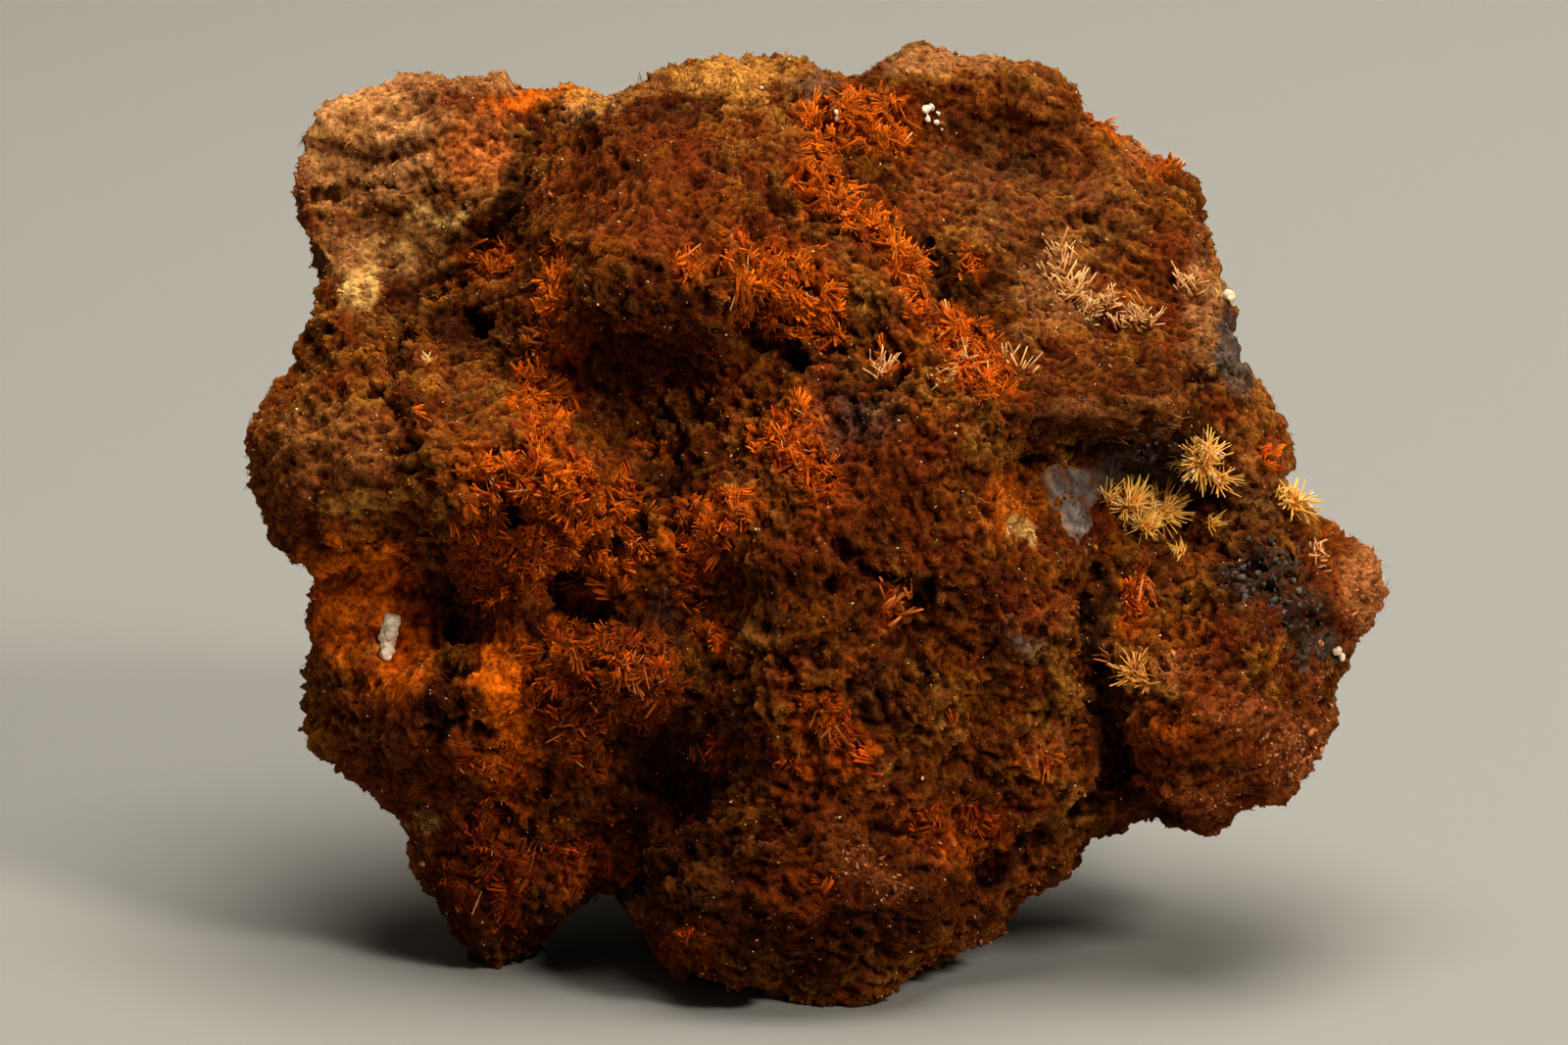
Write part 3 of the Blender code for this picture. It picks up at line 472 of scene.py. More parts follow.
def tinted_material(name, roughness, shine, grain_size, grain_depth, vary, lit_through):
    """The colour kept on the mesh, mottled and bumped by fine noise."""
    made = bpy.data.materials.new(name)
    made.use_nodes = True
    tree = made.node_tree

    def set_inputs(node, values):
        for socket, value in values.items():
            node.inputs[socket].default_value = value
        return node

    shader = set_inputs(tree.nodes["Principled BSDF"], {
        "Roughness": roughness,
        "Specular IOR Level": shine,
        "Subsurface Weight": lit_through,
        "Subsurface Radius": (1.0, 0.6, 0.3),
        "Subsurface Scale": 0.25 * MM,
    })
    place = tree.nodes.new("ShaderNodeTexCoord")
    tint = tree.nodes.new("ShaderNodeAttribute")
    tint.attribute_name = "tint"
    fine = set_inputs(tree.nodes.new("ShaderNodeTexNoise"), {
        "Scale": 1.0 / (grain_size * MM), "Detail": 6.0, "Roughness": 0.65,
    })
    spread = set_inputs(tree.nodes.new("ShaderNodeMapRange"), {
        "From Min": 0.36, "From Max": 0.64, "To Min": 1.0 - vary, "To Max": 1.0 + vary,
    })
    scale = tree.nodes.new("ShaderNodeVectorMath")
    scale.operation = "SCALE"
    bump = set_inputs(tree.nodes.new("ShaderNodeBump"), {"Strength": 0.9, "Distance": grain_depth * MM})
    for output, target in (
        (place.outputs["Object"], fine.inputs["Vector"]),
        (fine.outputs["Fac"], spread.inputs["Value"]),
        (tint.outputs["Color"], scale.inputs[0]),
        (spread.outputs["Result"], scale.inputs["Scale"]),
        (scale.outputs["Vector"], shader.inputs["Base Color"]),
        (fine.outputs["Fac"], bump.inputs["Height"]),
        (bump.outputs["Normal"], shader.inputs["Normal"]),
    ):
        tree.links.new(output, target)
    return made


# The stone


def joined_nodes(names):
    """The CAD solids of these nodes as one list of points and of triangles."""
    points, faces, start = [], [], 0
    for name in names:
        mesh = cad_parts[name].data
        points.append(points_of(mesh))
        faces.append(triangles_of(mesh) + start)
        start += len(mesh.vertices)
    return np.concatenate(points), np.concatenate(faces)


def closed_stone():
    """The stone with its sockets closed over and its facets worn down."""
    names = [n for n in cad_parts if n.startswith(("limonite", "orange_crust"))]
    mesh = new_mesh("limonite_stone", *joined_nodes(sorted(names)))
    stone = bpy.data.objects.new("limonite_stone", mesh)
    bpy.context.scene.collection.objects.link(stone)
    remesh(stone, CLOSING_VOXEL)
    for swell in (0.24, -0.24):
        set_points(stone.data, points_of(stone.data) + swell * normals_of(stone.data))
        if swell > 0:
            remesh(stone, CLOSING_VOXEL)
    set_points(stone.data, relaxed(stone.data, 7))
    return stone


def front_share(normals):
    """1 where the picture shows the surface, fading out round the sides."""
    return smooth_step(-0.15, 0.25, toward_viewer(normals))


def spots_on(points, normals, spots):
    """Spots as they lie on the stone."""
    return spots_at(pixels_of(points), spots) * front_share(normals)


def wobble(points, size, offset=0.0):
    shift = Vector((offset, offset * 0.7, -offset))
    return np.array([noise.noise(Vector(p) / size + shift) for p in points])


def zone_pulls(points):
    """How much each zone of the grain has to say at each point."""
    pixels = pixels_of(points)
    pulls = np.array([
        np.exp(-((pixels[:, 0] - x) ** 2 + (pixels[:, 1] - y) ** 2) / reach**2) + 1e-4
        for x, y, reach, _ in GRAIN_WAYS
    ])
    return pulls / pulls.sum(axis=0)


def zone_way(degrees):
    """A zone's grain as a direction in space."""
    turn = math.radians(degrees)
    return ways_to_world([(math.cos(turn), math.sin(turn), 0.0)])[0]


def streaks(points, size, stretch=4.5):
    """Noise drawn out along the grain."""
    pulls = zone_pulls(points) ** 2
    pulls /= np.sqrt((pulls**2).sum(axis=0))
    total = np.zeros(len(points))
    for pull, (_, _, _, degrees) in zip(pulls, GRAIN_WAYS):
        way = zone_way(degrees)
        chosen = np.nonzero(pull > 0.08)[0]
        near = points[chosen]
        squeezed = near - np.outer(near @ way, way) * (1.0 - 1.0 / stretch)
        total[chosen] += pull[chosen] * wobble(squeezed, size, degrees)
    return total


def line_gap(pixels, line):
    """How far each pixel place is from a line, and whether it is on its right, seen along it."""
    gap = np.full(len(pixels), 1e9)
    right = np.zeros(len(pixels), bool)
    for (x0, y0), (x1, y1) in zip(line, line[1:]):
        along = np.array((x1 - x0, y1 - y0), float)
        from_start = pixels - (x0, y0)
        t = np.clip(from_start @ along / (along @ along), 0.0, 1.0)
        away = from_start - t[:, None] * along
        far = np.hypot(away[:, 0], away[:, 1])
        nearer = far < gap
        gap[nearer] = far[nearer]
        side = away[:, 1] * along[0] - away[:, 0] * along[1]
        right[nearer] = side[nearer] > 0
    return gap, right


def carving(points, normals):
    """How deep the listed pits, cracks and ledges cut at each point."""
    ragged = 9.0 * np.column_stack((wobble(points, 0.9, 51.0), wobble(points, 0.9, 57.0)))
    ragged += 5.0 * np.column_stack((wobble(points, 0.4, 53.0), wobble(points, 0.4, 59.0)))
    pixels = pixels_of(points) + ragged
    depth = np.zeros(len(points))
    for x, y, wide, high, degrees, deep in PITS:
        depth = np.maximum(depth, deep * spots_at(pixels, ((x, y, wide, high, degrees, 1.0),), 0.5))
    for line, wide, deep in CRACKS:
        gap, _ = line_gap(pixels, line)
        depth = np.maximum(depth, deep * np.exp(-((gap / wide) ** 2)))
    step = np.zeros(len(points))
    for line, deep, fade in LEDGES:
        gap, right = line_gap(pixels, line)
        step = np.maximum(step, deep * np.exp(-gap / fade) * right)
        step -= 0.25 * deep * np.exp(-gap / 14.0) * ~right
    for x, y, wide, high, degrees, high_up in FILLS:
        depth -= high_up * spots_at(pixels, ((x, y, wide, high, degrees, 1.0),), 0.7)
    return (depth + step) * smooth_step(0.0, 0.35, toward_viewer(normals))


def stone_relief(points, normals):
    """How far the crumbly surface stands out at each point."""
    smooth = np.zeros(len(points))
    for spots, share in (
        (GREY_SPOTS + OCHRE_SPOTS, 0.8), (YELLOW_AND_LIT_TOP_SPOTS + PINK_SPOTS, 0.5), (SMOOTH_SPOTS, 1.0),
    ):
        smooth = np.maximum(smooth, share * spots_on(points, normals, spots))
    calm = spots_on(points, normals, CALM_SPOTS)
    orange = spots_on(points, normals, ORANGE_SPOTS)
    unseen = 1.0 - front_share(normals)
    heights = np.empty(len(points))
    for k, p in enumerate(points):
        spot = Vector(p)
        bend, turn = noise.noise(spot / 1.7), noise.noise(spot / 0.6 + Vector((4.0, 4.0, 4.0)))
        bent = spot + Vector((bend + turn, turn - bend, bend - turn)) * 0.4
        zone = 0.5 + noise.noise(spot / 3.1 + Vector((5.0, 1.0, 7.0)))
        near = noise.voronoi(bent / 1.05)[0]
        crumb = min(1.0, (near[1] - near[0]) / 0.3) - 0.6
        near = noise.voronoi(bent / 0.37)[0]
        grit = min(1.0, (near[1] - near[0]) / 0.4) - 0.6
        lump = noise.fractal(spot / 2.1, 0.75, 2.1, 5)
        fine = noise.noise(bent / 0.36) + 0.7 * noise.noise(bent / 0.19) + 0.5 * noise.noise(bent / 0.1)
        hole = zone * max(0.0, noise.noise(bent / 1.2 + Vector((9.0, 4.0, 2.0))) - 0.24)
        crest = 0.16 - abs(noise.noise(bent / 0.96)) + 0.5 * (0.16 - abs(noise.noise(bent / 0.4)))
        rough = 1.0 - 0.75 * calm[k]
        heights[k] = (0.45 - 0.1 * calm[k]) * lump + 0.12 * (1.0 - 0.4 * calm[k]) * fine
        heights[k] += rough * (0.17 * zone * crumb + 0.3 * zone * crest - 1.2 * hole)
        heights[k] += grit * rough * (0.09 + 0.16 * orange[k] + 0.1 * unseen[k])
        if orange[k] > 0.2:
            gap = max(0.0, noise.noise(bent / 0.55 + Vector((2.0, 6.0, 1.0))) - 0.12)
            heights[k] -= 1.3 * orange[k] * gap
    heights -= 0.45 * np.maximum(0.0, streaks(points, 0.5, 2.0) - 0.3)
    heights += (0.13 + 0.03 * calm) * streaks(points, 0.36) + 0.07 * streaks(points, 0.17)
    return heights * (1.0 - 0.85 * smooth)


def make_stone():
    """The whole stone: its CAD form, carved in the listed places, roughened, and coarser where it isn't
    seen.
    """
    stone = closed_stone()
    remesh(stone, CARVING_VOXEL)
    points, normals = points_of(stone.data), normals_of(stone.data)
    set_points(stone.data, points - normals * carving(points, normals)[:, None])
    remesh(stone, STONE_VOXEL)
    points, normals = points_of(stone.data), normals_of(stone.data)
    points += normals * stone_relief(points, normals)[:, None]
    set_points(stone.data, above_floor(points))
    away = 1.0 - front_share(normals_of(stone.data))
    # The further round to the rear a point lies, the more readily its triangles are merged
    group = stone.vertex_groups.new(name="rear")
    for k in range(11):
        chosen = np.nonzero(np.round(away * 10).astype(int) == k)[0]
        group.add(chosen.tolist(), 0.02 + 0.08 * k, "REPLACE")
    fewer = stone.modifiers.new("coarser rear", "DECIMATE")
    fewer.vertex_group = "rear"
    fewer.ratio = STONE_TRIANGLES / (2 * len(stone.data.polygons))
    keep_modified(stone)
    set_points(stone.data, above_floor(points_of(stone.data)))
    return stone


def show_stone(ground, material):
    """The stone in three pieces: the part that faces the picture, left and right, and the rest."""
    front = front_share(ground.facing) > 0.5
    right = pixels_of(ground.middles)[:, 0] > 800
    for name, chosen in (
        ("limonite_left", front & ~right), ("limonite_right", front & right), ("limonite_rear", ~front),
    ):
        used, faces = np.unique(ground.triangles[chosen], return_inverse=True)
        mesh = new_mesh(name, ground.points[used], faces.reshape(-1, 3))
        paint(mesh, ground.colours[used])
        smooth_shaded(mesh)
        mesh.normals_split_custom_set_from_vertices(ground.normals[used].tolist())
        add_piece(name, mesh, material, ("limonite_matrix",))


def mix(colours, other, share):
    return colours + (np.asarray(other) - colours) * np.asarray(share)[:, None]


def crack_shade_share(pixels):
    """How much painted shade each pixel place gets, in a crack or right under a ledge, from 0 to 1."""
    share = np.zeros(len(pixels))
    for line, wide, deep in CRACKS:
        gap, _ = line_gap(pixels, line)
        share = np.maximum(share, min(1.0, 1.3 * deep) * np.exp(-((gap / wide) ** 2)))
    for line, deep, _ in LEDGES:
        gap, right = line_gap(pixels, line)
        share = np.maximum(share, min(0.65, deep) * np.where(right, np.exp(-((gap / 13.0) ** 2)), 0.0))
    return share


def stone_colours(points, normals, heights):
    """The stone's colour at each point: brown with its stains and patches, painted lighter on its crests
    and where its top and rear are lit, and painted shade in its hollows, cracks and under its ledges.
    """
    broad = wobble(points, 3.4)
    far = wobble(points, 2.2, 21.0)
    middle = wobble(points, 1.1, 7.0)
    small = wobble(points, 0.4, 3.0)
    tiny = wobble(points, 0.18, 2.0)
    bent = points + 0.7 * np.column_stack((middle, small, wobble(points, 0.9, 13.0)))
    shown = front_share(normals)
    # Random tone, with painted highlight on the crests and painted shade in the hollows, both through the
    # heights.
    light = 0.5 * broad + 0.4 * middle + 0.3 * small + 0.35 * streaks(points, 0.3) + 2.0 * heights
    colours = np.tile(np.asarray(BROWN), (len(points), 1))
    colours = mix(colours, BROWN_LIGHT, smooth_step(-0.05, 0.65, light))
    shade = -0.5 * broad - 0.35 * small + 0.4 * far + 0.35 * middle - heights
    colours = mix(colours, BROWN_DARK, 0.85 * smooth_step(0.0, 0.42, shade))
    colours = mix(colours, RED_BROWN, 0.6 * smooth_step(0.0, 0.5, far - 0.4 * small + 0.2 * middle))
    rust = wobble(points, 1.5, 61.0) + 0.45 * small + 0.3 * tiny
    colours = mix(colours, RUST_STAIN, 0.5 * smooth_step(0.14, 0.42, rust))
    deep_red = wobble(points, 1.2, 71.0) + 0.4 * small
    colours = mix(colours, DEEP_RED, 0.6 * smooth_step(0.16, 0.4, deep_red))
    colours = mix(colours, PINK, (1 - shown) * 0.5 * smooth_step(0.25, 0.5, broad + 0.3 * small))
    colours = mix(colours, ORANGE, (1 - shown) * 0.6 * smooth_step(0.22, 0.4, far + 0.3 * small))
    pixels = pixels_of(bent)
    for spots, colour, ragged in (
        (RED_SPOTS, RED_BROWN, 0.5), (DARK_AND_SHADE_SPOTS, BROWN_DARK, 0.5), (DUN_AND_LIT_SPOTS, DUN, 0.4),
        (PINK_SPOTS, PINK, 0.7), (ORANGE_SPOTS, ORANGE, 0.6), (OCHRE_SPOTS, OCHRE, 0.25),
        (YELLOW_AND_LIT_TOP_SPOTS, YELLOW, 0.4), (CREAM_SPOTS, CREAM, 0.3), (BLACK_SPOTS, BLACK, 0.5),
        (GREY_SPOTS, GREY, 0.3),
    ):
        cover = spots_at(pixels, spots) * shown
        patchy = np.clip(1.0 - ragged + ragged * (1.2 * small + 0.9 * middle + 0.7 * tiny + 0.7), 0.0, 1.0)
        colours = mix(colours, colour, cover * patchy)
    # Painted shade in the cracks and under the ledges.
    colours = mix(colours, CRACK_SHADE, 0.85 * crack_shade_share(pixels) * shown)
    colours = colours * (1.0 - spots_at(pixels, SHADE_SPOTS) * shown)[:, None]
    # Painted shade: the hollows darker, and redder the darker they are.
    hollow_shade_factor = 0.08 + 0.92 * smooth_step(-0.16, 0.06, heights + 0.07 * tiny)
    return colours * hollow_shade_factor[:, None] ** (1.0, 1.35, 1.6)


class Ground:
    """The finished stone as the crystals and fibres meet it."""

    def __init__(self, stone):
        self.points = points_of(stone.data)
        self.normals = normals_of(stone.data)
        self.triangles = triangles_of(stone.data)
        self.tree = BVHTree.FromPolygons([tuple(p) for p in self.points], self.triangles.tolist())
        a, b, c = (self.points[self.triangles[:, k]] for k in range(3))
        cross = np.cross(b - a, c - a)
        self.areas = np.linalg.norm(cross, axis=1) / 2
        self.middles = (a + b + c) / 3
        self.facing = unit(cross)
        smoothed = relaxed(stone.data, 14)
        heights = np.sum((self.points - smoothed) * self.normals, axis=1)
        self.colours = stone_colours(self.points, self.normals, heights)
        self.face_colours = self.colours[self.triangles].mean(axis=1)
        self.face_heights = heights[self.triangles].mean(axis=1)

    def scatter(self, count, weight, rng):
        """Spots spread over the triangles by area and weight: places, normals, triangle numbers."""
        share = self.areas * weight
        picked = rng.choice(len(share), size=count, p=share / share.sum())
        r, s = rng.random(count), rng.random(count)
        over = r + s > 1
        r[over], s[over] = 1 - r[over], 1 - s[over]

        def inside(corners):
            a, b, c = (corners[self.triangles[picked, k]] for k in range(3))
            return a + (b - a) * r[:, None] + (c - a) * s[:, None]

        return inside(self.points), unit(inside(self.normals)), picked

    def seen_at(self, x, y):
        """The point and broad outward direction that the picture shows at a pixel."""
        flat = [(x - PICTURE_MIDDLE[0]) * PIXEL, (PICTURE_MIDDLE[1] - y) * PIXEL, 0.0]
        start, aim = to_world([(*VIEW_CENTRE, -VIEW_DISTANCE), flat])
        hit = self.tree.ray_cast(Vector(start), Vector(aim - start).normalized())[0]
        if hit is None:
            return None, None
        near = np.linalg.norm(self.points - np.array(hit), axis=1) < 0.9
        facing = self.normals[near].mean(axis=0)
        return np.array(hit), facing / np.linalg.norm(facing)


# Crystals and fibres


def capped(colours):
    """Colours scaled down where they are too bright, with their hue kept."""
    return colours / np.maximum(1.0, colours.max(axis=1, keepdims=True) / BRIGHTEST)


def random_units(count, rng):
    return unit(rng.normal(size=(count, 3)))


def sides_of(directions, rng):
    """Two directions across each one, turned at random."""
    side = unit(np.cross(directions, random_units(len(directions), rng)))
    return side, np.cross(directions, side)


def repeated_mesh(name, points, shades, pattern):
    """Many small bodies of one kind: the points and colours of each, and the faces of the first."""
    count, corners = points.shape[:2]
    pattern = np.array(pattern)
    faces = pattern[None] + corners * np.arange(count)[:, None, None]
    mesh = new_mesh(name, points.reshape(-1, 3), faces.reshape(-1, pattern.shape[1]))
    paint(mesh, shades.reshape(-1, 3))
    return mesh


def lath_mesh(
    name, bases, directions, lengths, widths, thicknesses, taper, slant, colours, tips, rng, sides=None
):
    """Flat-sided crystals: each a tapering lath with a slanting end. Their feet stay open."""
    count = len(bases)
    side, flat = sides_of(directions, rng) if sides is None else sides
    points = np.empty((count, 8, 3))
    shades = np.empty((count, 8, 3))
    for k, (s, f) in enumerate(((-1, -1), (1, -1), (1, 1), (-1, 1))):
        wide = side * (s * widths / 2)[:, None]
        deep = flat * (f * thicknesses / 2)[:, None]
        points[:, k] = bases + wide + deep
        lean = (lengths + s * slant * widths)[:, None]
        points[:, k + 4] = bases + directions * lean + (wide + deep) * taper
        shades[:, k], shades[:, k + 4] = colours, tips
    faces = [(4, 5, 6, 7)] + [(k, (k + 1) % 4, (k + 1) % 4 + 4, k + 4) for k in range(4)]
    return repeated_mesh(name, points, shades, faces)


def fibre_mesh(name, bases, directions, lengths, widths, colours, rng):
    """Fine flat fibres, each a narrow kite bent at its widest place."""
    count = len(bases)
    side, flat = sides_of(directions, rng)
    points = np.empty((count, 4, 3))
    shades = np.empty((count, 4, 3))
    bend = flat * (widths * rng.uniform(0.3, 1.2, count))[:, None]
    middle = bases + directions * (lengths * 0.4)[:, None] + bend
    points[:, 0] = bases
    points[:, 1] = middle + side * (widths / 2)[:, None]
    points[:, 2] = middle - side * (widths / 2)[:, None]
    points[:, 3] = bases + directions * lengths[:, None]
    for k, bright in enumerate((0.7, 1.0, 1.0, 1.35)):
        shades[:, k] = np.clip(colours * bright, 0.0, BRIGHTEST)
    return repeated_mesh(name, points, shades, [(0, 2, 1), (1, 2, 3)])


def grain_way(points):
    """The direction that the felt lies in at each point, before it is laid on the surface."""
    total = np.zeros((len(points), 2))
    for pull, (_, _, _, degrees) in zip(zone_pulls(points), GRAIN_WAYS):
        turn = math.radians(degrees)
        total += pull[:, None] * (math.cos(turn), math.sin(turn))
    angle = np.arctan2(total[:, 1], total[:, 0]) + 0.9 * wobble(points, 2.6, 31.0)
    flat = np.column_stack((np.cos(angle), np.sin(angle), 0.25 * wobble(points, 2.0, 40.0)))
    return ways_to_world(flat)


def make_felt(name, ground, count, weight, size, material, rng):
    """Fine fibres that lie along the grain, longer and flatter where the surface is calm."""
    places, normals, picked = ground.scatter(count, weight, rng)
    way = grain_way(places)
    way -= normals * np.sum(way * normals, axis=1)[:, None]
    way = unit(way) * rng.choice((-1.0, 1.0), size=count)[:, None]
    calm = spots_at(pixels_of(places), CALM_SPOTS, 0.5)
    lift = np.abs(rng.normal(0.0, 0.18, count)) * (1.0 - 0.4 * calm) + 0.04
    stray = 0.3 * (1.0 - 0.5 * calm)[:, None] * rng.normal(size=(count, 3))
    directions = unit(way + normals * lift[:, None] + stray)
    directions += normals * np.maximum(0.0, 0.06 - np.sum(directions * normals, axis=1))[:, None]
    directions = unit(directions)
    lengths = size * rng.uniform(0.4, 1.3, count) * (1.0 + 0.9 * calm)
    widths = size * rng.uniform(0.07, 0.14, count)
    colours = ground.face_colours[picked] * rng.lognormal(0.05, 0.4, count)[:, None]
    colours *= rng.uniform(0.85, 1.15, (count, 3))
    mesh = fibre_mesh(name, places - normals * 0.02, directions, lengths, widths, colours, rng)
    add_piece(name, mesh, material)


def make_fringe(name, ground, material, rng):
    """Bristles that stand out over an edge, four at each step along lines of pixel places."""
    places, facings, ways = [], [], []
    for line, degrees in FRINGES:
        turn = math.radians(degrees)
        way = ways_to_world([(math.cos(turn), math.sin(turn), -0.5)])[0]
        for (x0, y0), (x1, y1) in zip(line, line[1:]):
            steps = max(2, int(math.hypot(x1 - x0, y1 - y0) / 2))
            for t in np.linspace(0.0, 1.0, steps):
                x = x0 + (x1 - x0) * t + rng.normal(0, 3)
                y = y0 + (y1 - y0) * t + rng.normal(0, 3)
                place, facing = ground.seen_at(x, y)
                if place is not None:
                    places += [place] * 4
                    facings += [facing] * 4
                    ways += [way] * 4
    count = len(places)
    directions = unit(np.array(ways) + 0.5 * np.array(facings) + 0.35 * rng.normal(size=(count, 3)))
    places = np.array(places) + 0.08 * rng.normal(size=(count, 3)) - directions * 0.1
    colours = capped(np.array(DUN) * rng.lognormal(-0.5, 0.5, count)[:, None])
    lengths = rng.uniform(0.2, 0.58, count)
    widths = rng.uniform(0.02, 0.045, count)
    mesh = fibre_mesh(name, places, directions, lengths, widths, colours, rng)
    add_piece(name, mesh, material)


def make_crumbs(name, ground, count, weight, size, material, rng, tone=None, stretch=1.0):
    """Loose grains that stick to the surface, each an uneven eight-sided crumb."""
    places, normals, picked = ground.scatter(count, weight, rng)
    tips = np.array([(1, 0, 0), (-1, 0, 0), (0, 1, 0), (0, -1, 0), (0, 0, 1), (0, 0, -1)], float)
    faces = [(0, 2, 4), (2, 1, 4), (1, 3, 4), (3, 0, 4), (2, 0, 5), (1, 2, 5), (3, 1, 5), (0, 3, 5)]
    first = random_units(count, rng)
    second, third = sides_of(first, rng)
    sizes = size * rng.lognormal(0.0, 0.35, count)
    spread = tips[None] * rng.uniform(0.6, 1.2, (count, 6, 1)) * (stretch, 1.0, 1.0)
    spread += 0.25 * rng.normal(size=spread.shape)
    axes = np.stack((first, second, third), axis=1)
    centres = places + normals * (sizes * 0.15)[:, None]
    points = centres[:, None] + 0.5 * sizes[:, None, None] * (spread @ axes)
    colours = ground.face_colours[picked] if tone is None else np.tile(np.asarray(tone), (count, 1))
    colours = np.clip(colours * rng.lognormal(0.1, 0.35, count)[:, None], 0.0, BRIGHTEST)
    mesh = repeated_mesh(name, points, np.repeat(colours[:, None], 6, axis=1), faces)
    add_piece(name, mesh, material)


def make_blades(name, ground, clusters, weight, material, replaced, rng):
    """Fans of six small blunt blades that lie and stand all ways on a crust."""
    each = 6
    centres, normals, picked = ground.scatter(clusters, weight, rng)
    lean = rng.choice((0.15, 0.5, 1.4), size=clusters, p=(0.4, 0.38, 0.22))[:, None]
    aim = random_units(clusters, rng)
    aim = unit(unit(aim - normals * np.sum(aim * normals, axis=1)[:, None]) + normals * lean)
    side, flat = sides_of(aim, rng)
    size = np.minimum(rng.lognormal(math.log(0.285), 0.42, clusters), 0.5)
    wide = size * rng.uniform(0.25, 0.6, clusters)
    fan = rng.uniform(0.1, 0.6, clusters)
    count = clusters * each
    place = np.tile(np.linspace(-1.0, 1.0, each), clusters) + rng.normal(0.0, 0.12, count)
    rows = np.repeat(np.arange(clusters), each)
    fanned = aim[rows] + side[rows] * (place * fan[rows])[:, None]
    directions = unit(fanned + 0.09 * rng.normal(size=(count, 3)))
    lengths = size[rows] * rng.uniform(0.55, 1.2, count)
    bases = centres[rows] + side[rows] * (place * wide[rows] / 2)[:, None]
    bases += flat[rows] * rng.normal(0.0, 0.04, count)[:, None] - aim[rows] * (0.25 * size[rows])[:, None]
    widths = wide[rows] / each * rng.uniform(0.9, 2.9, count)
    bright = rng.lognormal(0.0, 0.33, clusters)[rows] * rng.lognormal(0.0, 0.18, count)
    # Painted light: blades higher up lighter and yellower, lower ones darker and redder as in shade, with
    # some random spread.
    height = ground.middles[picked, 2] / 30.0
    lit_share = smooth_step(0.05, 0.95, height + rng.normal(0.0, 0.3, clusters))[rows][:, None]
    colours = np.array(BLADE_SHADED) * (1 - lit_share) + np.array(BLADE_LIT) * lit_share
    shade = 1.0 - spots_at(pixels_of(centres), SHADE_SPOTS)
    colours = capped(colours * (bright * shade[rows])[:, None])
    # A few blades painted pale, as glints in the crust.
    pale = rng.random(count) < 0.007
    colours[pale] = PALE_TIP
    lengths[pale] *= 1.3
    widths[pale] *= 0.5
    # Each blade gets painted shade at its foot, down in the crust, and a little painted light at its tip.
    mesh = lath_mesh(
        name, bases, directions, lengths * 1.25, widths, widths * rng.uniform(0.5, 1.0, count), 0.75, 0.3,
        colours * 0.4, capped(colours * 1.15), rng, (side[rows], flat[rows]),
    )
    add_piece(name, mesh, material, replaced)


def spray_parts(centre, normal, count, length, width, kind, rng):
    """One burst of needles from a point: their feet, directions, lengths, widths and colours."""
    style, base, tip = kind
    needles_each, straying, lift, foot = STYLES[style]
    up, out = ways_to_world([(0.0, 1.0, 0.0), (0.0, 0.0, -1.0)])
    if style == "ball":
        normal = unit((0.3 * normal + 0.45 * up + 0.6 * out)[None])[0]
    loose = random_units(max(3, count // needles_each), rng)
    flat = unit(loose - np.outer(loose @ normal, normal))
    bunch = {
        "ball": loose + 0.85 * normal,
        "sheaf": flat + 0.4 * normal,
        "fan": 0.7 * up + 0.5 * out + 1.0 * flat + 0.4 * normal,
    }[style]
    picked = rng.integers(len(bunch), size=count)
    directions = unit(unit(bunch)[picked] + straying * rng.normal(size=(count, 3)))
    directions = unit(directions + normal * np.maximum(0.0, 0.1 - directions @ normal)[:, None])
    lengths = length * rng.uniform(0.4, 1.1, count)
    widths = width * rng.uniform(0.6, 1.25, count)
    shade = rng.lognormal(0.0, 0.18, count)[:, None]
    bases = np.tile(centre + normal * lift, (count, 1)) + foot * rng.normal(size=(count, 3))
    colours, tips = capped(np.array(base) * shade), capped(np.array(tip) * shade)
    # A few needles painted nearly white, as glints.
    white = rng.random(count) < (GLINT_SHARE if kind is TAN_BALL else 0.0)
    colours[white], tips[white] = NEEDLE_GLINT, NEEDLE_GLINT_TIP
    return bases, directions, lengths, widths, colours, tips


def make_sprays(name, bursts, ground, material, replaced, rng):
    """Bursts of needles that stand for one spray of the CAD model."""
    parts = [
        spray_parts(*ground.seen_at(x, y), count, length, width, kind, rng)
        for x, y, count, length, width, kind in bursts
    ]
    bases, directions, lengths, widths, colours, tips = (np.concatenate(part) for part in zip(*parts))
    mesh = lath_mesh(name, bases, directions, lengths, widths, widths * 0.6, 0.6, 0.5, colours, tips, rng)
    add_piece(name, mesh, material, replaced)


# Styles: needles to a bunch, how far they stray, how high their feet stand, how far the feet spread
STYLES = {"ball": (9, 0.42, 0.4, 0.1), "sheaf": (7, 0.17, -0.1, 0.22), "fan": (7, 0.2, -0.1, 0.22)}

# Kinds of burst: style, colour of the foot, colour of the tip
TAN_BALL = ("ball", TAN, TAN_TIP)
HAZEL_BALL = ("ball", HAZEL, HAZEL_TIP)
CREAM_BALL = ("ball", CREAM, CREAM)
CREAM_SHEAF = ("sheaf", CREAM, CREAM)
RUST_SHEAF = ("sheaf", RUST, RUST_TIP)
RUST_FAN = ("fan", RUST, RUST_TIP)
RUST_PALE_FAN = ("fan", RUST, PALE_TIP)
PALE_FAN = ("fan", PALE, PALE_TIP)

# The share of the needles in a tan ball that are painted nearly white, as glints
GLINT_SHARE = 0.08

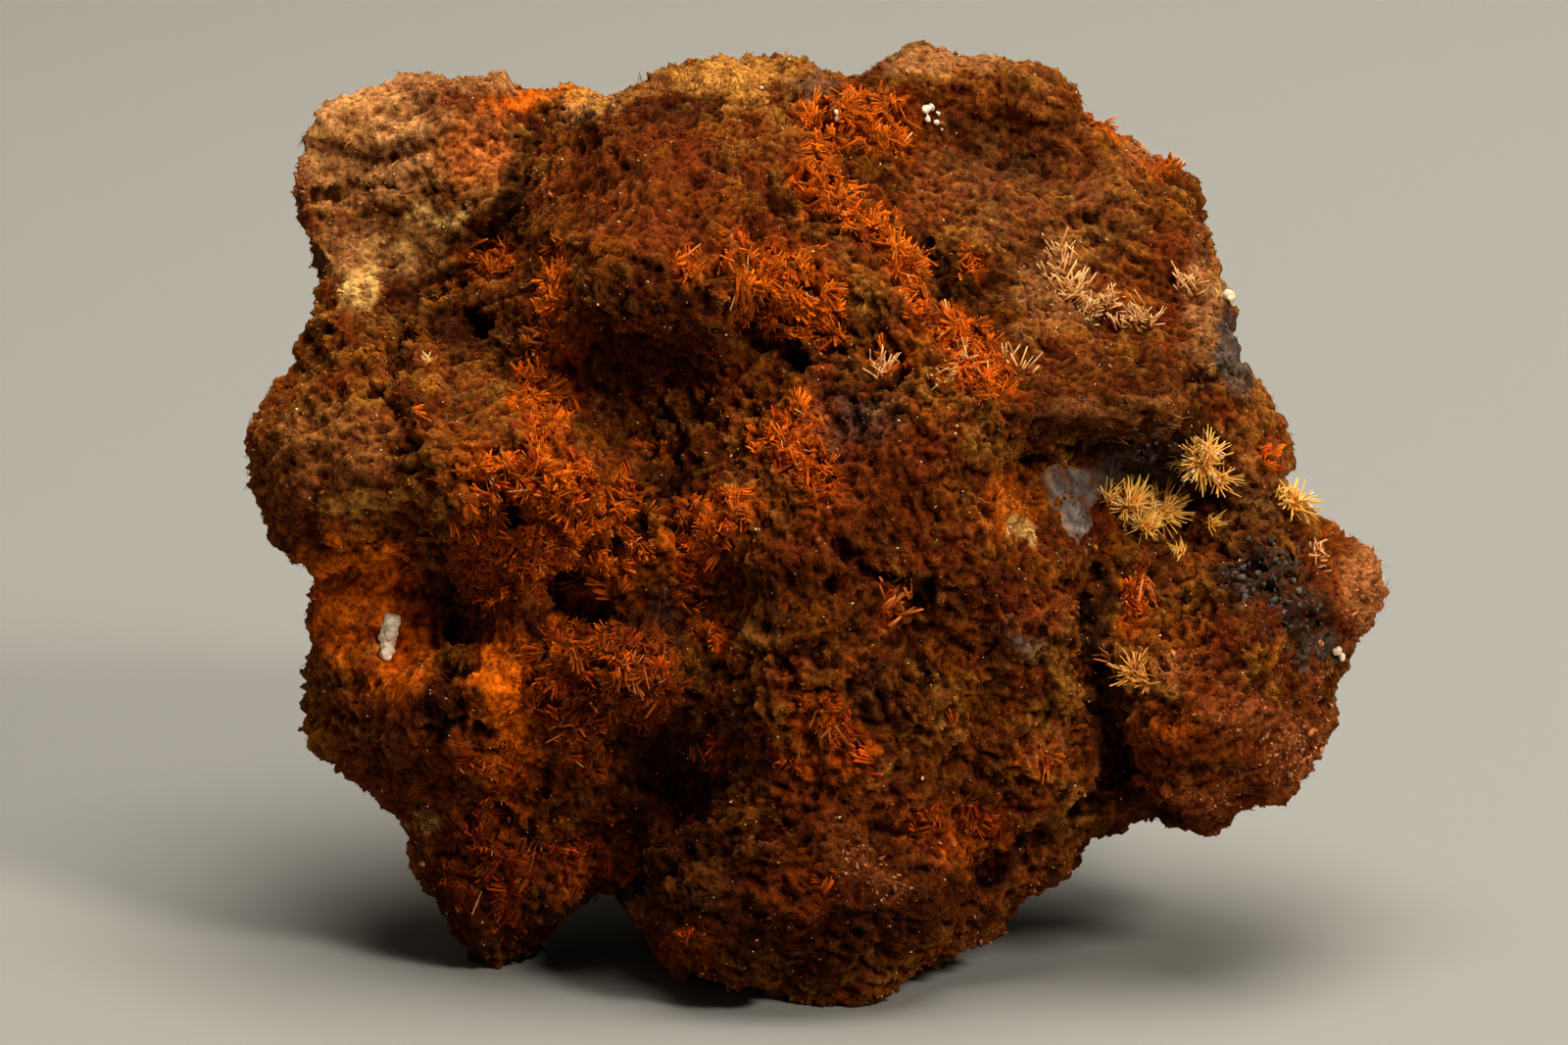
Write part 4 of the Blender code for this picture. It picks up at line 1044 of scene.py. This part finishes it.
# For each CAD spray, its slot and its bursts: pixel x, y, needles, their length, their width, kind
SPRAYS = {
    "tan_spray_upper": ("tan crystal", (
        (1228, 475, 180, 1.14, 0.076, TAN_BALL), (1214, 470, 70, 0.9, 0.054, TAN_BALL),
        (1245, 494, 60, 0.9, 0.054, TAN_BALL), (1232, 462, 50, 0.78, 0.054, TAN_BALL),
    )),
    "tan_spray_twin": ("tan crystal", (
        (1148, 524, 160, 1.1, 0.074, TAN_BALL), (1182, 530, 170, 1.1, 0.074, TAN_BALL),
        (1165, 546, 80, 0.9, 0.054, TAN_BALL), (1201, 572, 24, 0.5, 0.042, TAN_BALL),
        (1237, 540, 24, 0.5, 0.04, TAN_BALL), (1130, 516, 28, 0.7, 0.037, TAN_BALL),
    )),
    "tan_spray_edge": ("tan crystal", (
        (1318, 520, 52, 0.95, 0.085, TAN_BALL), (1308, 508, 24, 0.67, 0.064, TAN_BALL),
        (1346, 566, 24, 0.42, 0.09, RUST_PALE_FAN),
    )),
    "tan_spray_low": ("tan crystal", (
        (1160, 694, 60, 0.9, 0.053, HAZEL_BALL), (1172, 704, 28, 0.67, 0.053, HAZEL_BALL),
        (1130, 668, 31, 0.75, 0.058, RUST_SHEAF),
    )),
    "cream_spray_left": ("cream crystal", (
        (1092, 300, 84, 0.81, 0.072, PALE_FAN), (1084, 266, 40, 0.64, 0.072, PALE_FAN),
        (1108, 318, 40, 0.59, 0.072, PALE_FAN), (1078, 284, 18, 0.59, 0.072, PALE_FAN),
    )),
    "cream_spray_right": ("cream crystal", (
        (1130, 310, 40, 0.59, 0.072, PALE_FAN), (1164, 326, 64, 0.64, 0.072, PALE_FAN),
        (1148, 334, 34, 0.51, 0.072, PALE_FAN), (1212, 290, 34, 0.59, 0.072, PALE_FAN),
    )),
    "cream_spray_basin": ("cream crystal", (
        (985, 375, 56, 0.77, 0.072, PALE_FAN), (962, 386, 20, 0.51, 0.072, PALE_FAN),
        (898, 378, 28, 0.59, 0.072, PALE_FAN), (1040, 372, 14, 0.68, 0.072, PALE_FAN),
    )),
    "rust_spray": ("rust crystal", (
        (906, 618, 20, 0.95, 0.13, RUST_FAN), (918, 606, 9, 0.95, 0.13, RUST_FAN),
        (1156, 616, 42, 0.8, 0.086, RUST_SHEAF), (1166, 600, 21, 0.6, 0.078, RUST_SHEAF),
        (549, 284, 4, 0.4, 0.13, CREAM_SHEAF), (436, 376, 14, 0.3, 0.05, CREAM_BALL),
        (430, 545, 10, 0.6, 0.078, RUST_SHEAF), (500, 628, 23, 0.8, 0.086, RUST_SHEAF),
        (700, 272, 6, 0.7, 0.07, RUST_SHEAF), (555, 343, 9, 0.7, 0.156, RUST_SHEAF),
        (588, 738, 10, 0.8, 0.07, RUST_SHEAF), (544, 860, 7, 0.8, 0.08, RUST_SHEAF),
        (648, 690, 12, 0.7, 0.065, RUST_SHEAF), (844, 740, 15, 0.7, 0.101, RUST_SHEAF),
    )),
}

# Edges that carry a fringe of bristles: a line of pixel places, and the way the bristles point
FRINGES = (
    (((653, 92), (700, 88), (761, 92)), 80),
    (((1139, 452), (1175, 440), (1200, 425)), 20),
)

# The grey flake's outline, in pixels
FLAKE = (
    (1058, 482), (1080, 473), (1102, 478), (1124, 475), (1131, 490), (1119, 507), (1109, 524), (1108, 544),
    (1100, 558), (1090, 546), (1082, 530), (1070, 514), (1062, 499),
)


def make_flake(ground, material):
    """A smooth grey flake laid bare in the face, with a jagged edge that goes down into the stone."""
    outline = np.array(FLAKE, float)
    centre = outline.mean(axis=0)
    rings = (0.15, 0.3, 0.45, 0.6, 0.72, 0.84, 0.93, 1.0, 1.05)
    around = 4 * len(outline)
    fine = [
        start + (end - start) * t
        for start, end in zip(outline, np.roll(outline, -1, axis=0)) for t in (0, 0.25, 0.5, 0.75)
    ]
    jagged = [1.0 + 0.3 * noise.noise(Vector((*spot / 17.0, 3.0))) for spot in fine]
    spots = [centre]
    for ring in rings:
        spots += [centre + (spot - centre) * ring * jag for spot, jag in zip(fine, jagged)]
    found = [ground.seen_at(*spot) for spot in spots]
    middle, facing = found[0]
    flat = np.array([hit for hit, _ in found])
    lift = np.sum((flat - middle) * facing, axis=1)
    across = np.column_stack((flat - middle, np.ones(len(flat))))[:, [0, 2, 3]]
    slope, *_ = np.linalg.lstsq(across, lift, rcond=None)
    level = across @ slope
    points = flat + facing * (0.75 * (level - lift) + 0.12)[:, None]
    points[-around:] -= facing * 0.5
    faces = [(0, 1 + k, 1 + (k + 1) % around) for k in range(around)]
    for ring in range(len(rings) - 1):
        faces += halved(band_faces(1 + ring * around, 1 + (ring + 1) * around, around))
    mesh = new_mesh("grey_flake", points, faces)
    across_picture, down_picture = np.array(spots).T
    shade = 1.0 + 0.6 * wobble(points, 0.7, 4.0)
    pale = smooth_step(0.0, 1.0, (down_picture - 500) / 60)
    colours = 0.95 * np.array(GREY) * (1.0, 1.0, 1.04) * shade[:, None] * (1.0 + 0.7 * pale)[:, None]
    stained = wobble(points, 0.55, 21.0) + 0.5 * wobble(points, 0.2, 27.0)
    colours = mix(colours, BROWN, 0.85 * smooth_step(0.05, 0.4, stained))
    right = smooth_step(1090, 1135, across_picture + 30 * wobble(points, 0.4, 33.0))
    colours = mix(colours, BROWN_DARK, 0.8 * right)
    rim = np.zeros(len(points))
    rim[-2 * around:-around] = 1.0
    paint(mesh, mix(colours, BROWN_LIGHT, 0.75 * rim * (1.0 - right)))
    smooth_shaded(mesh)
    add_piece("grey_flake", mesh, material)


# Pale grains


def ball_points(centre, size, rng):
    """A ball of triangles, drawn out a little at random along each axis: its points and faces."""
    rings, around = 8, 16
    points = [(0.0, 0.0, 1.0)]
    for ring in range(1, rings):
        down = math.pi * ring / rings
        for k in range(around):
            turn = math.tau * (k + 0.5 * (ring % 2)) / around
            across = math.sin(down)
            points.append((across * math.cos(turn), across * math.sin(turn), math.cos(down)))
    points.append((0.0, 0.0, -1.0))
    last = len(points) - 1
    faces = []
    for k in range(around):
        after = (k + 1) % around
        faces += [(0, 1 + k, 1 + after), (last, last - 1 - after, last - 1 - k)]
    for ring in range(rings - 2):
        faces += halved(band_faces(1 + ring * around, 1 + (ring + 1) * around, around))
    return np.array(points) * size * rng.uniform(0.8, 1.2, (1, 3)) + centre, np.array(faces)


def make_pellet(name, ground, balls, replaced, material, rng):
    """Pale grains fused from several lumps, each (pixel x, pixel y, radius, height)."""
    points, faces, start = [], [], 0
    for x, y, radius, height in balls:
        centre, facing = ground.seen_at(x, y)
        some, corners = ball_points(centre + facing * height, radius, rng)
        points.append(some)
        faces.append(corners + start)
        start += len(some)
    mesh = new_mesh(name, np.concatenate(points), np.concatenate(faces))
    piece = add_piece(name, mesh, material, replaced)
    remesh(piece, PELLET_VOXEL)
    mesh = piece.data
    set_points(mesh, relaxed(mesh, 5))
    points, normals = points_of(mesh), normals_of(mesh)
    lumps = 0.1 * wobble(points, 0.3, 5.0) + 0.06 * wobble(points, 0.13, 8.0)
    set_points(mesh, points + normals * lumps[:, None])
    shade = 1.0 + 0.3 * wobble(points, 0.25, 11.0)
    colours = np.clip(np.array(PELLET_WHITE) * shade[:, None], 0, 0.92)
    paint(mesh, mix(colours, PELLET_STAIN, 0.5 * smooth_step(0.2, 0.5, wobble(points, 0.5, 17.0))))
    mesh.materials.clear()
    mesh.materials.append(material)
    smooth_shaded(mesh)


# The pale grains: piece, CAD node, and lumps as pixel x, y, radius, height over the stone
PELLETS = (
    ("white_pellet_left", "pale_grain_left", (
        (397, 634, 0.27, 0.25), (396, 643, 0.29, 0.28), (394, 653, 0.28, 0.26), (393, 662, 0.27, 0.24),
        (394, 671, 0.22, 0.2), (390, 650, 0.2, 0.3),
    )),
    ("white_pellet_top", "pale_grain_top", (
        (943, 112, 0.13, 0.09), (950, 110, 0.12, 0.1), (956, 117, 0.12, 0.09), (955, 126, 0.11, 0.07),
        (946, 121, 0.12, 0.09), (960, 133, 0.08, 0.05), (855, 123, 0.1, 0.12), (853, 117, 0.08, 0.1),
        (776, 92, 0.08, 0.05),
    )),
    ("white_pellet_right", "pale_grain_right", (
        (1362, 664, 0.14, 0.12), (1367, 669, 0.1, 0.1), (1251, 304, 0.2, 0.1),
    )),
)


# The stage


# Lights: name; place, aim, width and height in metres; watts, colour, spread in degrees
STONE_MIDDLE = (0.0, 0.0, 0.014)
LIGHTS = (
    ("softbox", (0.04, -0.05, 0.44), STONE_MIDDLE, 0.34, 0.34, 3.1, (1.0, 0.97, 0.93), 180.0),
    ("key", (0.21, -0.26, 0.24), STONE_MIDDLE, 0.08, 0.08, 1.33, (1.0, 0.95, 0.88), 180.0),
    ("floor_light", (0.14, 0.26, 0.5), (0.14, 0.26, 0.0), 0.4, 0.2, 0.47, (1.0, 0.96, 0.90), 70.0),
)
SKY = (1.0, 0.98, 0.94, 1.0)
SKY_STRENGTH = 0.07


def make_floor():
    """A pale round floor that sweeps up into a wall, far behind the eye wherever it stands."""
    flat, curve, around = 460, 240, 96
    rows = [(0.5, 0.0), (60.0, 0.0), (200.0, 0.0), (460.0, 0.0)]
    rows += [(flat + curve * math.sin(a), curve * (1 - math.cos(a))) for a in np.linspace(0.08, 1.5, 18)]
    rows.append((702, 800))
    turns = np.linspace(0.0, math.tau, around, endpoint=False)
    points = [(r * math.cos(t), r * math.sin(t), z) for r, z in rows for t in turns]
    faces = []
    for row in range(len(rows) - 1):
        faces += band_faces(row * around, (row + 1) * around, around)
    mesh = new_mesh("floor", points, faces)
    smooth_shaded(mesh)
    plain = bpy.data.materials.new("pale_floor")
    plain.use_nodes = True
    shader = plain.node_tree.nodes["Principled BSDF"]
    shader.inputs["Base Color"].default_value = (*FLOOR, 1.0)
    shader.inputs["Roughness"].default_value = 0.8
    mesh.materials.append(plain)
    floor = bpy.data.objects.new("floor", mesh)
    bpy.context.scene.collection.objects.link(floor)


def add_light(name, place, aim, wide, high, watts, colour, spread):
    light = bpy.data.lights.new(name, "AREA")
    light.shape = "RECTANGLE"
    light.size, light.size_y = wide, high
    light.energy = watts
    light.color = colour
    light.spread = math.radians(spread)
    lamp = bpy.data.objects.new(name, light)
    bpy.context.scene.collection.objects.link(lamp)
    lamp.location = place
    lamp.rotation_euler = (Vector(aim) - Vector(place)).to_track_quat("-Z", "Y").to_euler()


def set_stage():
    make_floor()
    for light in LIGHTS:
        add_light(*light)
    world = bpy.data.worlds.new("studio")
    bpy.context.scene.world = world
    world.use_nodes = True
    sky = world.node_tree.nodes["Background"]
    sky.inputs["Color"].default_value = SKY
    sky.inputs["Strength"].default_value = SKY_STRENGTH
    camera = bpy.data.objects.new("camera", bpy.data.cameras.new("camera"))
    bpy.context.scene.collection.objects.link(camera)
    camera.location = Vector(to_world([(*VIEW_CENTRE, -VIEW_DISTANCE)])[0]) * MM
    camera.rotation_euler = (math.radians(90.0) - VIEW_TILT, 0.0, 0.0)
    camera.data.sensor_width = CAMERA_SENSOR
    camera.data.lens = CAMERA_SENSOR * VIEW_DISTANCE / PICTURE_WIDTH
    camera.data.clip_start = 0.01
    bpy.context.scene.camera = camera
    bpy.context.scene.view_settings.view_transform = "Standard"


def main():
    set_stage()
    rng = np.random.default_rng(11)
    skins = {name: tinted_material(name, *values) for name, values in SKINS.items()}
    fibre, blade, crystal = skins["limonite_fibre"], skins["orange_blade"], skins["crystal_blade"]

    stone = make_stone()
    ground = Ground(stone)
    bpy.data.objects.remove(stone)
    show_stone(ground, skins["limonite_skin"])

    # Where things grow: one weight for each triangle of the stone
    shown = front_share(ground.facing)
    pixels = pixels_of(ground.middles)
    black = spots_at(pixels, BLACK_SPOTS[:4], 0.35) * shown
    pink = spots_at(pixels, PINK_SPOTS, 0.5) * shown
    orange = spots_at(pixels, ORANGE_SPOTS, 0.6) * shown
    calm = spots_at(pixels, CALM_SPOTS, 0.5) * shown
    bare = np.maximum(spots_at(pixels, GREY_SPOTS) * shown, 0.6 * black)
    bare = np.maximum(bare, 0.85 * spots_at(pixels, OCHRE_SPOTS) * shown)
    up = (ground.middles[:, 2] > 0.5).astype(float)
    crest = smooth_step(-0.15, 0.05, ground.face_heights)
    felt = (1.0 - bare) * (1.0 - 0.8 * orange) * up * (0.2 + crest)
    crumbs = (1.0 - bare) * (0.3 + shown) * (0.15 + crest) * (1.0 - 0.6 * calm)
    # Pale specks painted as glints, most on the crests and the face.
    specks = (1.0 - bare) * (0.05 + shown) * (0.1 + crest)

    make_felt("felt_front", ground, 50000, felt * (0.02 + shown), 0.19, fibre, rng)
    make_felt("felt_rest", ground, 22000, felt * (1.02 - shown), 0.27, fibre, rng)
    for name, count, weight, size, skin, tone, stretch in (
        ("crumbs", 22000, crumbs, 0.1, fibre, None, 1.0),
        ("dark_grains", 130, black**2 * up, 0.22, skins["dark_grain"], DARK_GRAIN, 1.0),
        ("pink_grains", 900, pink**2 * up * (0.3 + crest), 0.09, blade, PINK_GRAIN, 2.2),
        ("glint_specks", 1600, specks, 0.05, crystal, GLINT_SPECK, 1.6),
    ):
        make_crumbs(name, ground, count, weight, size, skin, rng, tone, stretch)
    make_flake(ground, skins["grey_flake_skin"])
    make_fringe("fringe", ground, fibre, rng)

    ragged = wobble(ground.middles, 0.6, 3.0) + 0.8 * wobble(ground.middles, 1.5, 9.0)
    dense = smooth_step(0.25, 0.75, orange + 0.35 * ragged) * up * (0.1 + crest)
    dense *= 1.0 - spots_at(pixels, DUN_AND_LIT_SPOTS[:1], 0.3)
    upper = (pixels[:, 1] < 430).astype(float)
    make_blades(
        "orange_blades_upper", ground, 1500, dense * upper, blade,
        ("orange_crust_top", "orange_crust_ridge", "orange_crust_face", "orange_crust_basin"), rng,
    )
    make_blades(
        "orange_blades_lower", ground, 2300, dense * (1 - upper), blade,
        ("orange_crust_left", "orange_crust_middle", "orange_crust_lower"), rng,
    )
    for node, (slot, bursts) in SPRAYS.items():
        make_sprays(node + "_needles", bursts, ground, crystal, (node,), rng)
    for name, node, balls in PELLETS:
        make_pellet(name, ground, balls, (node,), skins["pale_pellet"], rng)


main()
